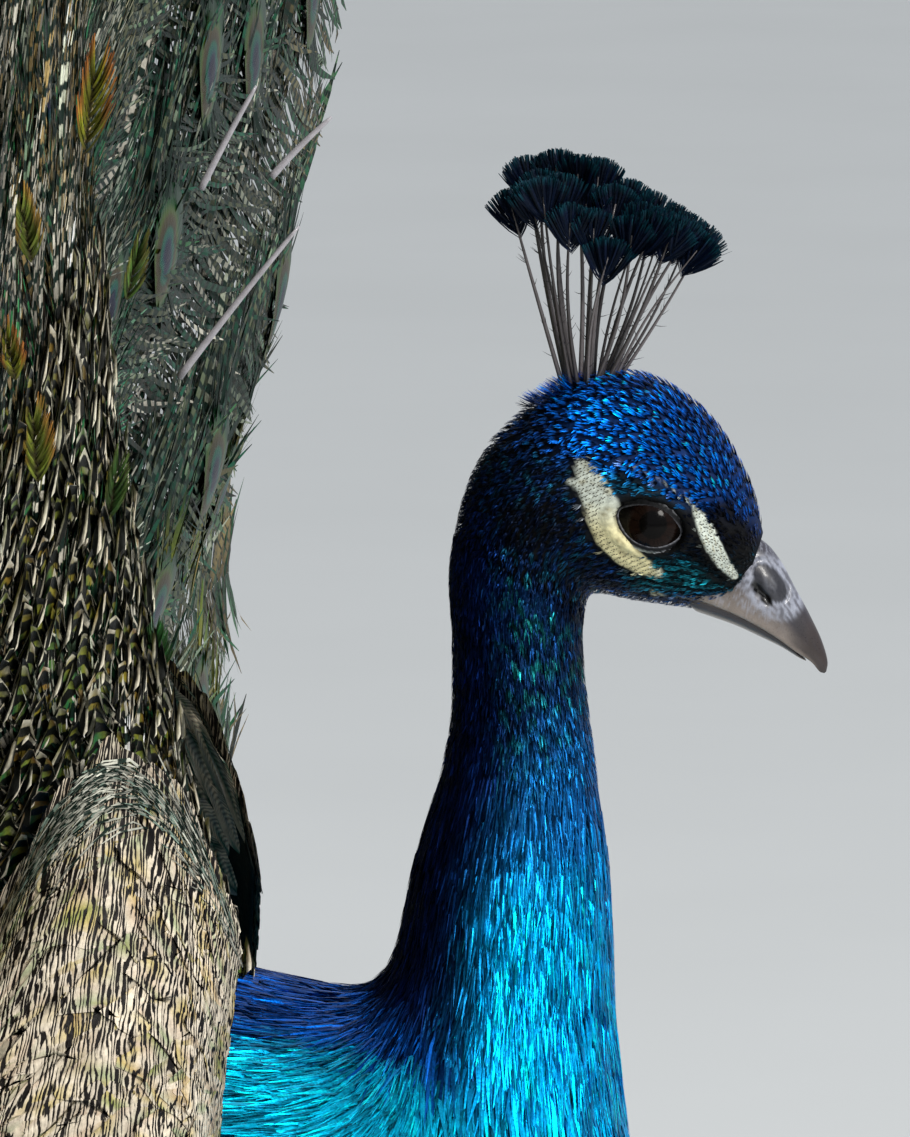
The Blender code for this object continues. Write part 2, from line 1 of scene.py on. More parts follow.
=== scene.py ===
import math
import bpy
import numpy as np
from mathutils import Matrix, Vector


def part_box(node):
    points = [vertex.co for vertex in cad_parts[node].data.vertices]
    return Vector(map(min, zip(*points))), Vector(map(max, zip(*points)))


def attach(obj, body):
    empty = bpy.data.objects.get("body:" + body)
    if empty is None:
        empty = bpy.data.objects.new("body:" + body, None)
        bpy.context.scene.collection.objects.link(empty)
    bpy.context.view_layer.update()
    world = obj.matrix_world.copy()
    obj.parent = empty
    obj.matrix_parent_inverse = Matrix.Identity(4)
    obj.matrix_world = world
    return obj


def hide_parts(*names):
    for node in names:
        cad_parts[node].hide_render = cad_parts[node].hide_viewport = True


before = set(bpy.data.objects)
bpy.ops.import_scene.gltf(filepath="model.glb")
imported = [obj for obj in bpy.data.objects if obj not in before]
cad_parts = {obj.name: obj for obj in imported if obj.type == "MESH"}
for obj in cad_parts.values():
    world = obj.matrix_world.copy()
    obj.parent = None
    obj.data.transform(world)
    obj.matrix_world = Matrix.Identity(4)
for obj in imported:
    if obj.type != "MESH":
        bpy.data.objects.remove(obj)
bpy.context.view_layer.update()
print("frame loaded:", len(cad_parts), "nodes")

eyeLow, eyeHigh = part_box("eye_right")
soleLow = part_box("foot_right")[0]
eyesAhead = 0.0465  # metres
# The tables count millimetres from a point under the neck, eyesAhead behind the eyes;
# this moves them onto the frame.
birdOrigin = np.array(((eyeLow.x + eyeHigh.x) / 2 - eyesAhead, 0, soleLow.z))
fullTurn = 2 * math.pi
allRound = (0, fullTurn)


# Tools

def place(points):  # millimetres from the bird's own point to the frame's metres
    return np.asarray(points, float) * 0.001 + birdOrigin


def paint(red, green, blue):  # a colour as a screen shows it, 0 to 255, made linear
    value = np.array((red, green, blue)) / 255
    return np.where(value <= 0.04045, value / 12.92, ((value + 0.055) / 1.055) ** 2.4)


def ease(low, high, value):  # 0 below low, 1 above high, a smooth step between
    share = np.clip((value - low) / (high - low), 0, 1)
    return share * share * (3 - 2 * share)


def toward(colour, other, share):  # colour moved towards other by share
    return colour + (other - colour) * np.asarray(share)[..., None]


def layered(table, colour, *layers):  # a colour of the table with others laid over it, each to its own share
    colour = table[colour] if isinstance(colour, str) else colour
    for other, share in layers:
        colour = toward(colour, table[other], share)
    return colour


def stacked(*parts):  # arrays made one shape and put side by side on a new last axis
    return np.stack(np.broadcast_arrays(*parts), axis=-1)


def turns(count):  # evenly spread angles of a full turn
    return np.linspace(0, fullTurn, count, endpoint=False)


def unit(vectors):
    return vectors / np.maximum(np.linalg.norm(vectors, axis=-1, keepdims=True), 1e-9)


def ripple(points, size, seed):  # soft noise from -1 to 1: five sine waves in random directions
    rng = np.random.default_rng(seed)
    total = 0
    for wave in range(5):
        direction = unit(rng.normal(size=3))
        pace = fullTurn / size * rng.uniform(0.7, 1.4)
        total = total + np.sin(points @ direction * pace + rng.uniform(0, 6.28))
    return np.clip(total / 3, -1, 1)


def spread(count, seed):  # pairs from 0 to 1 that fill a square evenly
    step = np.arange(1, count + 1)
    return (0.37 + seed * 0.11 + step * 0.7548777) % 1, (0.61 + seed * 0.07 + step * 0.5698403) % 1


def gridFaces(rows, columns, closed=False, ring=False):  # quads of a grid, joined round its columns or its rows
    tall = rows if ring else rows - 1
    wide = columns if closed else columns - 1
    row, column = np.meshgrid(np.arange(tall), np.arange(wide), indexing="ij")
    above, after = (row + 1) % rows, (column + 1) % columns
    corners = stacked(row * columns + column, row * columns + after, above * columns + after,
                      above * columns + column)
    return corners.reshape(-1, 4)


def capFaces(rows, sides):  # triangles from the first and the last ring to a point in the middle of each
    around = np.arange(sides)
    after = (around + 1) % sides
    lastRow = (rows - 1) * sides
    return stacked(after, around, rows * sides), stacked(lastRow + around, lastRow + after, rows * sides + 1)


def makePiece(name, points, faces, material, tint=None, lie=None, bake=None, nodes=()):
    # points in millimetres; faces is a list of arrays; tint is per point, lie and bake per point or per corner
    mesh = bpy.data.meshes.new(name)
    corners = np.concatenate([np.asarray(part).ravel() for part in faces]).astype(np.int32)
    sizes = np.concatenate([np.full(len(part), np.asarray(part).shape[1]) for part in faces])
    starts = np.concatenate(([0], np.cumsum(sizes)[:-1])).astype(np.int32)
    mesh.vertices.add(len(points))
    mesh.vertices.foreach_set("co", place(points).astype(np.float32).ravel())
    mesh.loops.add(len(corners))
    mesh.loops.foreach_set("vertex_index", corners)
    mesh.polygons.add(len(sizes))
    mesh.polygons.foreach_set("loop_start", starts)
    mesh.update(calc_edges=True)
    mesh.polygons.foreach_set("use_smooth", np.ones(len(sizes), bool))
    for label, spots in (("OFBake", bake), ("lie", lie)):
        if spots is not None:
            spots = np.asarray(spots, np.float32)
            spots = spots[corners] if len(spots) == len(points) else spots
            mesh.uv_layers.new(name=label).data.foreach_set("uv", spots.ravel())
    if tint is not None:
        colours = np.concatenate((tint, np.ones((len(points), 1))), axis=1)
        layer = mesh.attributes.new("tint", "FLOAT_COLOR", "POINT")
        layer.data.foreach_set("color", colours.astype(np.float32).ravel())
    mesh.materials.append(material)
    made = bpy.data.objects.new(name, mesh)
    bpy.context.scene.collection.objects.link(made)
    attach(made, "root")
    if nodes:
        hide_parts(*nodes)
    print(name, "done:", len(sizes), "faces")
    return made


def makeStrips(name, grids, colours, lie, spots, patch, material, nodes=()):
    # grids (count, rows, columns, 3) in millimetres; each grid bakes to a small patch at its spot
    count, rows, columns = grids.shape[:3]
    faces = gridFaces(rows, columns) + (np.arange(count) * rows * columns)[:, None, None]
    across = (np.linspace(0, 1, columns) - 0.5) * patch[0]
    along = (np.linspace(0, 1, rows) - 0.5) * patch[1]
    bake = np.clip(spots.reshape(-1, 1, 1, 2) + stacked(across, along[:, None]), 0.001, 0.999)
    tint = np.broadcast_to(np.clip(colours, 0, 1).reshape(count, rows, -1, 3), grids.shape)
    lie = np.zeros((*grids.shape[:3], 2)) if lie is None else lie
    return makePiece(name, grids.reshape(-1, 3), [faces.reshape(-1, 4)], material, tint.reshape(-1, 3),
                     lie.reshape(-1, 2), bake.reshape(-1, 2), nodes)


def ribbons(path, normal, halfWidth, columns, cup=0.0, roll=0.0):
    # each path (..., rows, 3) widened to both sides by halfWidth (..., rows), its edges sunk by cup
    # times the width and turned about the path by roll
    rows = path.shape[-2]
    normal = np.broadcast_to(normal, path.shape).reshape(-1, rows, 3)
    halfWidth = np.broadcast_to(halfWidth, path.shape[:-1]).reshape(-1, rows)
    path = path.reshape(-1, rows, 3)
    line = np.gradient(path, axis=1)
    side = unit(np.cross(line, normal))
    roll = np.broadcast_to(roll, path.shape[:1])[:, None, None]
    side = side * np.cos(roll) + normal * np.sin(roll)
    across = np.linspace(-1, 1, columns)
    shift = side[:, :, None] * across[:, None] - normal[:, :, None] * (cup * across ** 2)[:, None]
    return path[:, :, None] + shift * halfWidth[:, :, None, None]


def outward(points, faces):  # the same faces, turned over if they enclose a negative volume
    volume = 0
    for part in faces:
        for corner in range(1, part.shape[1] - 1):
            a, b, c = points[part[:, 0]], points[part[:, corner]], points[part[:, corner + 1]]
            volume += np.einsum("ij,ij->", a, np.cross(b, c))
    return faces if volume > 0 else [part[:, ::-1] for part in faces]


def makeTubes(name, rings, colours, material, nodes=(), spots=None, patch=(0.003, 0.003)):
    # closed tubes: rings (count, rows, sides, 3) joined in order, with a point in the middle of each end
    count, rows, sides = rings.shape[:3]
    points = np.concatenate((rings.reshape(count, -1, 3), rings[:, [0, -1]].mean(axis=2)), axis=1)
    parts = [gridFaces(rows, sides, closed=True), np.concatenate(capFaces(rows, sides))]
    step = (np.arange(count) * points.shape[1])[:, None, None]
    parts = outward(points[0] - points[0].mean(axis=0), parts)
    faces = [(part + step).reshape(-1, part.shape[1]) for part in parts]
    colours = np.broadcast_to(colours, rings.shape)
    tint = np.concatenate((colours.reshape(count, -1, 3), colours[:, [0, -1], 0]), axis=1)
    bake = None
    if spots is not None:
        across, along = np.meshgrid(np.linspace(-0.5, 0.5, sides), np.linspace(-0.5, 0.5, rows))
        local = stacked(across * patch[0], along * patch[1]).reshape(-1, 2)
        local = np.concatenate((local, ((0, -patch[1] / 2), (0, patch[1] / 2))))
        bake = np.clip(spots[:, None] + local, 0.001, 0.999).reshape(-1, 2)
    return makePiece(name, points.reshape(-1, 3), faces, material, tint.reshape(-1, 3), None, bake,
                     nodes)


def tubeRings(path, radii, sides):  # rings round each path (count, rows, 3) with radii (count, rows)
    line = unit(np.gradient(path, axis=1))
    helper = np.where(np.abs(line[..., 1:2]) > 0.9, (1.0, 0, 0), (0, 1.0, 0))
    first = unit(np.cross(line, helper))
    second = np.cross(line, first)
    angle = turns(sides)[:, None]
    reach = first[:, :, None] * np.cos(angle) + second[:, :, None] * np.sin(angle)
    return path[:, :, None] + reach * radii[..., None, None]


# Materials

class Nodes:  # a short hand for one material's node tree
    def __init__(self, name, metallic=0.0, shine=0.5):
        self.material = bpy.data.materials.new(name)
        self.material.use_nodes = True
        self.tree = self.material.node_tree
        self.shader = self.tree.nodes["Principled BSDF"].inputs
        self.shader["Metallic"].default_value = metallic
        self.shader["Specular IOR Level"].default_value = shine

    def add(self, kind, settings=None, **inputs):
        node = self.tree.nodes.new(kind)
        for key, value in (settings or {}).items():
            setattr(node, key, value)
        for key, value in inputs.items():
            self.join(value, node.inputs[int(key[1:]) if key[0] == "n" and key[1:].isdigit() else key])
        return node

    def join(self, value, socket):
        if isinstance(value, bpy.types.NodeSocket):
            self.tree.links.new(value, socket)
        else:
            socket.default_value = value

    def tint(self):  # the mesh's own colour
        return self.add("ShaderNodeAttribute", {"attribute_name": "tint"}).outputs["Color"]

    def lie(self):  # the map that runs along and across each feather, and its two parts
        lie = self.add("ShaderNodeUVMap", {"uv_map": "lie"}).outputs[0]
        return lie, *self.add("ShaderNodeSeparateXYZ", n0=lie).outputs[:2]

    def where(self):
        return self.add("ShaderNodeTexCoord").outputs["Object"]

    def noise(self, scale, detail=3.0, where=None):
        return self.add("ShaderNodeTexNoise", n0=where or self.where(), Scale=scale,
                        Detail=detail).outputs["Fac"]

    def math(self, operation, first, second=0.0):
        return self.add("ShaderNodeMath", {"operation": operation}, n0=first, n1=second).outputs[0]

    def plus(self, first, second):
        return self.math("ADD", first, second)

    def times(self, first, second):
        return self.math("MULTIPLY", first, second)

    def span(self, value, low, high, toLow, toHigh):
        return self.add("ShaderNodeMapRange", n0=value, n1=low, n2=high, n3=toLow, n4=toHigh).outputs[0]

    def mix(self, share, first, second, kind="MIX"):
        node = self.tree.nodes.new("ShaderNodeMix")
        node.data_type = "RGBA"
        node.blend_type = kind
        for socket, value in ((0, share), (6, first), (7, second)):
            self.join(value, node.inputs[socket])
        return node.outputs[2]

    def toned(self, colour, level):  # the colour times a grey level
        shade = self.add("ShaderNodeCombineColor", n0=level, n1=level, n2=level).outputs[0]
        return self.mix(1.0, colour, shade, "MULTIPLY")

    def finish(self, colour, rough, height=None, strength=0.5, distance=0.0):
        self.join(colour, self.shader["Base Color"])
        self.join(rough, self.shader["Roughness"])
        if height is not None:
            bump = self.add("ShaderNodeBump", Strength=strength, Distance=distance, Height=height)
            self.join(bump.outputs[0], self.shader["Normal"])
        return self.material


def linear(colour):
    return (*[float(part) for part in colour], 1.0)


def tintMaterial(name, metallic, rough, grain, contrast, bumpDepth, sheen=0.0, shine=0.5):
    # colour from the mesh, made lighter and darker by fine grain; roughness and bump from the same grain
    nodes = Nodes(name, metallic, shine)
    fine = nodes.noise(grain, 4.0)
    level = nodes.span(nodes.plus(fine, nodes.noise(grain / 7, 2.0)), 0.7, 1.3, 1 - contrast, 1 + contrast)
    nodes.shader["Sheen Weight"].default_value = sheen
    return nodes.finish(nodes.toned(nodes.tint(), level), nodes.span(fine, 0.3, 0.7, rough - 0.1, rough + 0.12),
                        fine, 0.6, bumpDepth)


def glossMaterial(name, rough, coat, shine=0.5):  # a tinted material under a thin clear coat
    material = tintMaterial(name, 0.0, rough, 2600, 0.18, 0.00002, 0.0, shine)
    shader = material.node_tree.nodes["Principled BSDF"]
    shader.inputs["Coat Weight"].default_value = coat
    shader.inputs["Coat Roughness"].default_value = 0.03
    return material


lieTurn = 628.3  # radians along the lie map, whose unit is 100 millimetres, for bars one millimetre apart


def stripedMaterial(name, metallic, rough, pitch, slant, contrast):
    # colour from the mesh under fine lines of barbs: pitch millimetres apart, slanted back from the shaft
    nodes = Nodes(name, metallic)
    along, across = nodes.lie()[1:]
    grain = nodes.noise(420, 4.0)
    slanted = nodes.plus(nodes.times(along, slant), nodes.times(nodes.math("ABSOLUTE", across), 1 - slant))
    line = nodes.math("SINE", nodes.plus(nodes.times(slanted, lieTurn / pitch), nodes.times(grain, 5.0)))
    mixed = nodes.plus(line, nodes.span(grain, 0.3, 0.7, -0.6, 0.6))
    level = nodes.span(mixed, -1.2, 1.2, 1 - contrast, 1 + contrast)
    return nodes.finish(nodes.toned(nodes.tint(), level), nodes.span(line, -1, 1, rough + 0.12, rough - 0.08),
                        line, 0.5, 0.00012)


def barredMaterial(name, metallic, pitch, bend, bias, bar):
    # pale feathers from the mesh's colour under wavy dark bars: pitch millimetres apart, bent by broad and
    # close noise, wider where bias and a slow noise are high, and wider still up the wing
    nodes = Nodes(name, metallic, 0.2)
    lie, along, across = nodes.lie()
    squeeze = nodes.add("ShaderNodeVectorMath", {"operation": "MULTIPLY"}, n0=lie,
                        n1=(1.0, 0.45, 1.0)).outputs[0]
    broad = nodes.times(nodes.noise(9.0, 2.0, squeeze), bend)
    close = nodes.times(nodes.noise(30.0, 4.0, squeeze), bend * 0.42)
    wave = nodes.math("SINE", nodes.plus(nodes.times(along, lieTurn / pitch), nodes.plus(broad, close)))
    height = nodes.add("ShaderNodeSeparateXYZ", n0=nodes.where()).outputs[2]
    low, top = (float(place((0, 0, z))[2]) for z in (500, 580))
    slow = nodes.span(nodes.noise(26.0, 2.0, squeeze), 0.35, 0.65, -0.7, 0.7)
    level = nodes.plus(nodes.span(height, low, top, bias - 0.36, bias + 0.46), slow)
    dark = nodes.span(nodes.math("SUBTRACT", level, wave), -0.15, 0.25, 0.0, 1.0)
    fine = nodes.noise(900, 4.0)
    pale = nodes.toned(nodes.tint(), nodes.span(fine, 0.3, 0.7, 0.75, 1.15))
    return nodes.finish(nodes.mix(dark, pale, linear(bar)), nodes.span(fine, 0.3, 0.7, 0.42, 0.62),
                        nodes.plus(fine, nodes.times(wave, 0.4)), 0.6, 0.0003)


# The body's surface

body = {
    "stations": (  # from the tail end to the bill: back x z, belly x z, half width, fullness
        (-257, 456, -263, 430, 12, 0.00), (-240, 492, -258, 372, 40, -0.05), (-206, 514, -228, 316, 66, -0.08),
        (-150, 528, -146, 272, 89, -0.05), (-95, 528, -52, 262, 97, 0.00), (-62, 523, 26, 288, 92, 0.04),
        (-43, 519, 64, 340, 80, 0.04), (-31, 517, 66, 402, 62, 0.02), (-22, 518, 46, 460, 43, 0.00),
        (-15, 526, 39, 505, 30, 0.00), (-9.5, 550, 37, 546, 23.5, 0.00), (-1.5, 578, 33, 575, 17.5, 0.00),
        (-0.5, 600, 30.5, 598, 15.8, 0.00), (-1, 622, 31, 609, 16.6, 0.00), (6, 646, 33.5, 613.5, 18.0, 0.04),
        (25, 663, 43, 612, 19.2, 0.05), (44, 666.5, 53, 610.5, 18.2, 0.02), (60, 657, 61, 610, 14.8, -0.02),
        (70, 641, 66, 612, 10.5, -0.04), (73.5, 629, 69, 616, 6.0, 0.00),
    ),
    "coatDepth": ((0, 7.0), (5, 9.0), (8, 7.0), (9.5, 5.0), (11, 3.2), (12.6, 1.9), (14, 1.1), (19, 0.7)),
}
stations = np.array(body["stations"])
lastStation = len(stations) - 1


def curveThrough(rows, at):  # a smooth curve through all rows of a table, read at fractional row numbers
    at = np.clip(at, 0, len(rows) - 1)
    knots = np.concatenate(([0], np.cumsum(np.sqrt(np.linalg.norm(np.diff(rows, axis=0), axis=1)))))
    slopes = np.gradient(rows, knots, axis=0)
    low = np.minimum(at.astype(int), len(rows) - 2)
    width = (knots[low + 1] - knots[low])[..., None]
    t = (at - low)[..., None]
    start = rows[low] * (1 + 2 * t) * (1 - t) ** 2 + slopes[low] * width * t * (1 - t) ** 2
    end = rows[low + 1] * t * t * (3 - 2 * t) + slopes[low + 1] * width * t * t * (t - 1)
    return start + end


def coatDepth(station):
    return np.interp(station, *np.transpose(body["coatDepth"]))


def bodyPoint(station, turn, grow=0.0):
    # an ellipse from the back point (turn 0) to the belly point (turn pi), wider on its fuller side,
    # carried along the stations; grow moves it outwards in millimetres
    row = curveThrough(stations, station)
    middle = (row[..., 0:2] + row[..., 2:4]) / 2
    half = (row[..., 0:2] - row[..., 2:4]) / 2
    reach = np.linalg.norm(half, axis=-1)
    stretch = (1 + grow / reach) * np.cos(turn)
    across = (row[..., 4] + grow) * np.sin(turn) * (1 + row[..., 5] * np.cos(turn))
    return stacked(middle[..., 0] + half[..., 0] * stretch, across, middle[..., 1] + half[..., 1] * stretch)


def leanOf(ground, p, q):  # outward normal, and the millimetres that one step of p and of q cover
    stepP, stepQ = ground["step"]
    along = (ground["point"](p + stepP, q) - ground["point"](p - stepP, q)) / (2 * stepP)
    around = (ground["point"](p, q + stepQ) - ground["point"](p, q - stepQ)) / (2 * stepQ)
    normal = unit(np.cross(along, around)) * ground["sign"]
    return normal, np.linalg.norm(along, axis=-1), np.linalg.norm(around, axis=-1)


def spotsOn(ground, look):
    # evenly spread points of a ground: each share of the area gets its share of the count
    tall, wide = 160, 120
    first, second = spread(look["count"], look["seed"])
    edgesP = np.linspace(*look["p"], tall + 1)
    edgesQ = np.linspace(*look["q"], wide + 1)
    p, q = np.meshgrid((edgesP[1:] + edgesP[:-1]) / 2, (edgesQ[1:] + edgesQ[:-1]) / 2, indexing="ij")
    along, around = leanOf(ground, p, q)[1:]
    area = along * around + 1e-6
    rowSum = np.concatenate(([0], np.cumsum(area.sum(1)))) / area.sum()
    where = np.interp(first, rowSum, np.arange(tall + 1))
    row = np.clip(where.astype(int), 0, tall - 1)
    inRow = np.concatenate((np.zeros((tall, 1)), np.cumsum(area, axis=1)), axis=1) / area.sum(1, keepdims=True)
    flat = (np.arange(tall)[:, None] + inRow * 0.999999).ravel()
    at = np.clip(np.searchsorted(flat, row + second) - 1, 0, flat.size - 2)
    share = np.clip((row + second - flat[at]) / np.maximum(flat[at + 1] - flat[at], 1e-9), 0, 1)
    column = np.clip(at - row * (wide + 1), 0, wide - 1)
    return np.interp(where, np.arange(tall + 1), edgesP), edgesQ[column] + share * (edgesQ[1] - edgesQ[0])


def bodyUnwrap(station, turn):  # the skin's own unwrap: round the body across, along it upwards
    return stacked(0.02 + 0.96 * (turn % fullTurn) / fullTurn, 0.02 + 0.9 * station / lastStation)


# Markings

markings = {
    "crownBlue": paint(0, 112, 238), "crownDark": paint(6, 14, 52), "browTeal": paint(14, 84, 120),
    "nape": paint(5, 26, 58), "napeGreen": paint(10, 66, 78), "black": paint(3, 6, 16),
    "white": paint(206, 214, 204), "cream": paint(222, 214, 168), "stipple": paint(150, 140, 104),
    "cheek": paint(12, 92, 106), "throat": paint(12, 56, 104), "bristle": paint(60, 58, 46),
    "upperNeck": paint(5, 32, 66), "upperNeckGreen": paint(12, 88, 84), "middleNeck": paint(12, 92, 158),
    "azure": paint(0, 164, 232), "rearNeck": paint(8, 26, 84), "royal": paint(0, 74, 158),
    "turquoise": paint(0, 176, 216), "belly": paint(10, 22, 30), "flank": paint(20, 34, 36),
    # strokes: x, z and half width along their middle line
    "crescent": ((31.0, 646.8, 2.0), (33.2, 641.5, 3.7), (35.4, 636.4, 4.2), (37.2, 630.0, 3.7),
                 (40.6, 625.2, 2.9), (44.8, 622.2, 2.3), (49.0, 620.2, 1.1)),
    "crescentTip": ((27.2, 643.2, 0.5), (29.8, 642.4, 1.5), (33.0, 641.0, 3.0)),
    "foreStripe": ((57.2, 636.2, 0.7), (58.6, 634.0, 1.5), (60.0, 630.8, 2.0), (61.6, 627.0, 2.0),
                   (63.8, 623.0, 1.7), (66.4, 619.4, 1.1)),
    "gape": ((47.2, 614.9, 0.7), (49.0, 614.4, 0.45), (54.0, 613.8, 0.2), (60.0, 611.6, 0.3)),
    "browLine": ((39.5, 648.0, 0.1), (44.5, 645.4, 0.35), (50.2, 642.6, 0.45), (54.4, 639.8, 0.45),
                 (57.6, 636.6, 0.5)),
    "lore": ((54.5, 631.5, 3.6), (59.5, 625.0, 3.0), (64.5, 619.0, 2.4), (67, 617.2, 1.5)),
    "behindBill": ((64.2, 634.0, 3.4), (67.0, 627.0, 3.4), (69.5, 620.6, 2.2)),
    "crownEdge": ((20, 34, 47, 57, 66, 73), (651, 648, 643, 636.5, 631.5, 629)),
    "eye": {"place": (46.5, 9.5, 632.5), "radius": 9.2, "opening": (7.5, 4.9), "tilt": 20},
}


def strokeShare(x, z, path, soft=0.5):
    # 1 inside a brush stroke whose middle line and half width are given, 0 outside, soft at the edge
    best = np.full(x.shape, -1e9)
    for (x0, z0, r0), (x1, z1, r1) in zip(path, path[1:]):
        length = (x1 - x0) ** 2 + (z1 - z0) ** 2
        share = np.clip(((x - x0) * (x1 - x0) + (z - z0) * (z1 - z0)) / length, 0, 1)
        away = np.hypot(x - x0 - share * (x1 - x0), z - z0 - share * (z1 - z0))
        best = np.maximum(best, r0 + share * (r1 - r0) - away)
    return ease(-soft, soft, best)


def tilted(x, z, oval):  # along and across an oval given by x, z, half length, half height and tilt
    tilt = math.radians(oval[4])
    dx, dz = x - oval[0], z - oval[1]
    along, across = dx * math.cos(tilt) - dz * math.sin(tilt), dx * math.sin(tilt) + dz * math.cos(tilt)
    return np.hypot(along / oval[2], across / oval[3])


def eyeDistance(x, z):  # 1 on the rim of the eye's opening
    eye = markings["eye"]
    return tilted(x, z, (eye["place"][0], eye["place"][2], *eye["opening"], eye["tilt"]))


def whiteShare(points, withBrow=True):  # 1 on the bare white skin
    x, z = points[..., 0], points[..., 2]
    wobble = 0.22 * ripple(points, 1.7, 4)
    share = strokeShare(x + wobble, z, markings["crescent"], 0.35)
    share = np.maximum(share, strokeShare(x + wobble, z, markings["crescentTip"], 0.35))
    share = np.maximum(share, strokeShare(x, z + wobble, markings["foreStripe"], 0.3))
    share = np.maximum(share, 0.8 * strokeShare(x, z + wobble, markings["gape"], 0.3))
    if withBrow:
        broken = ease(-0.5, 0.0, ripple(points, 1.6, 9))
        share = np.maximum(share, strokeShare(x, z, markings["browLine"], 0.3) * broken)
    return share * (eyeDistance(x, z) > 1.12)


def plumage(points, station, turn):
    # the colour of the coat at points of the body, laid zone over zone
    x, z = points[..., 0], points[..., 2]
    out = np.abs(points[..., 1])
    front = -np.cos(turn)  # -1 on the back of the neck, 1 on its front
    patch, glint = ripple(points, 9, 1), ripple(points, 4, 2)
    onBack = ease(0.25, 0.6, np.cos(turn)) * ease(9.3, 8.4, station)
    # the upper neck is darker partly as painted shade cast by the head, and the bright azure low on the front of
    # the neck is partly painted highlight; darker towards the back of the neck
    colour = layered(
        markings, "upperNeck",
        ("upperNeckGreen", 0.75 * ease(0.0, 0.8, glint) * ease(-0.9, 0.2, front)),
        ("rearNeck", 0.8 * ease(0.1, -0.7, front)),
        ("middleNeck", ease(590 + 12 * front, 560 + 12 * front, z + 5 * patch) * ease(-0.8, 0.3, front)),
        ("azure", ease(568 + 6 * front, 542, z + 4 * patch) * ease(-0.55, 0.1, front + 0.12 * patch)),
        ("turquoise", ease(9.0, 8.0, station) * ease(516, 508, z)),
        ("royal", onBack * ease(509, 514, z)),
        ("belly", ease(7.6, 5.6, station + 0.8 * front) * ease(450, 400, z)),
        ("flank", ease(4.5, 3.0, station)))
    crownLine = np.interp(x, *markings["crownEdge"]) + 1.2 * patch
    onCrown = ease(crownLine - 2.5, crownLine + 3.5, z) * (0.15 + 0.85 * ease(18, 31, x + 0.6 * (z - 660)))
    dark = np.maximum(strokeShare(x, z, markings["lore"], 1.2), strokeShare(x, z, markings["behindBill"], 1.2))
    head = layered(
        markings, "nape",
        ("napeGreen", 0.5 * ease(0.0, 0.9, glint)),
        ("browTeal", ease(634, 640, z) * ease(32, 40, x)),
        ("crownDark", 0.92 * ease(61, 66, x) * ease(614, 624, z)),
        ("crownBlue", onCrown * (1 - 0.35 * ease(62, 72, x))),
        ("cheek", ease(627, 620, z) * ease(40, 48, x) * 0.95),
        ("throat", ease(617, 613, z) * ease(34, 44, x)),
        ("black", 0.93 * dark),
        ("black", 0.85 * ease(1.15, 0.55, np.hypot((x - 20) / 12, (z - 633) / 7.5))),  # the ear
        ("black", ease(1.6, 1.3, eyeDistance(x, z)) * (out > 9)))
    onHead = ease(12.9, 13.8, station + 0.5 * front)
    white = layered(markings, "white", ("cream", ease(640, 630, z) * ease(52, 46, x)),
                    ("stipple", 0.6 * ease(0.45, 0.8, ripple(points, 0.9, 6))))
    return toward(toward(colour, head, onHead), white, whiteShare(points) * onHead * (out > 6))


bodyGround = {"point": bodyPoint, "step": (0.02, 0.02), "sign": 1, "depth": coatDepth, "colour": plumage,
              "unwrap": bodyUnwrap, "span": (0.02, lastStation - 0.01)}


# The skin under the feathers

def skinPoint(station, turn):
    # the body's surface less the depth of the coat, with a socket and lids at each eye
    points = bodyPoint(station, turn, -coatDepth(station))
    normal = leanOf(bodyGround, station, turn)[0]
    away = eyeDistance(points[..., 0], points[..., 2])
    side = (np.abs(points[..., 1]) > 7) & (station > 13)
    socket = -7.5 * ease(1.16, 0.98, away)
    lid = 0.75 * np.exp(-((away - 1.38) / 0.20) ** 2)
    bare = 0.55 * whiteShare(points)
    return points + normal * ((socket + lid + bare) * side)[..., None]


skinLook = {"rows": 350, "columns": 170}
skinMaterial = tintMaterial("skin under feathers", 0.1, 0.6, 900, 0.35, 0.0003, 0.0, 0.15)


def makeSkin():
    # rings of the skin's surface along the body, crowded towards the head, closed at both ends
    rows, columns = skinLook["rows"], skinLook["columns"]
    station = lastStation * (1 - (1 - np.linspace(0, 1, rows)) ** 1.35)
    s, t = np.meshgrid(station, turns(columns), indexing="ij")
    points = skinPoint(s, t).reshape(-1, 3)
    onHead = s.ravel() > 13
    # the skin takes the plumage's colour darkened, a painted shade in the gaps between the tufts; the bare white
    # skin of the head stays light
    dark = np.where(onHead, 0.12, 0.3)[:, None] + 0.82 * whiteShare(points)[..., None] * onHead[:, None]
    dark = plumage(points, s.ravel(), t.ravel()) * dark
    ends = [sum(bodyPoint(np.array([at]), np.array([side]))[0] * 0.5 for side in (0.0, math.pi))
            for at in (0.0, float(lastStation))]
    faces = gridFaces(rows, columns, closed=True)
    first, last = capFaces(rows, columns)
    tint = np.concatenate((dark, dark[:1], dark[-1:]))
    unwrap = bodyUnwrap(s, t + 1e-9).reshape(-1, 2)
    corner = unwrap[faces]
    corner[..., 0] = np.where((faces % columns == 0) & (np.arange(4) % 3 != 0)[None], 0.98, corner[..., 0])
    caps = unwrap[np.minimum(np.concatenate((first, last)), rows * columns - 1)]
    caps[:, 2] = (0.5, 0.5)
    bake = np.concatenate((corner.reshape(-1, 2), caps.reshape(-1, 2)))
    return makePiece("skin", np.concatenate((points, ends)),
                     [faces[:, ::-1], np.concatenate((first, last))[:, ::-1]], skinMaterial, tint,
                     None, bake, ("trunk", "neck_lower", "neck_upper", "head"))


skin = makeSkin()


# The small feathers of head, neck and breast, in tufts of barbs that lie along the body

def rootsOn(ground, look):  # where the feathers grow: p, q, the points, and the size of each
    rng = np.random.default_rng(look["seed"])
    p, q = spotsOn(ground, look)
    where = ground["point"](p, q)
    keep = (look["keep"](where, p, q) if look["keep"] else 1.0) > rng.random(len(p))
    size = look["size"](where, p, q) if look["size"] else np.ones(len(p))
    return rng, p[keep], q[keep], where[keep], size[keep]


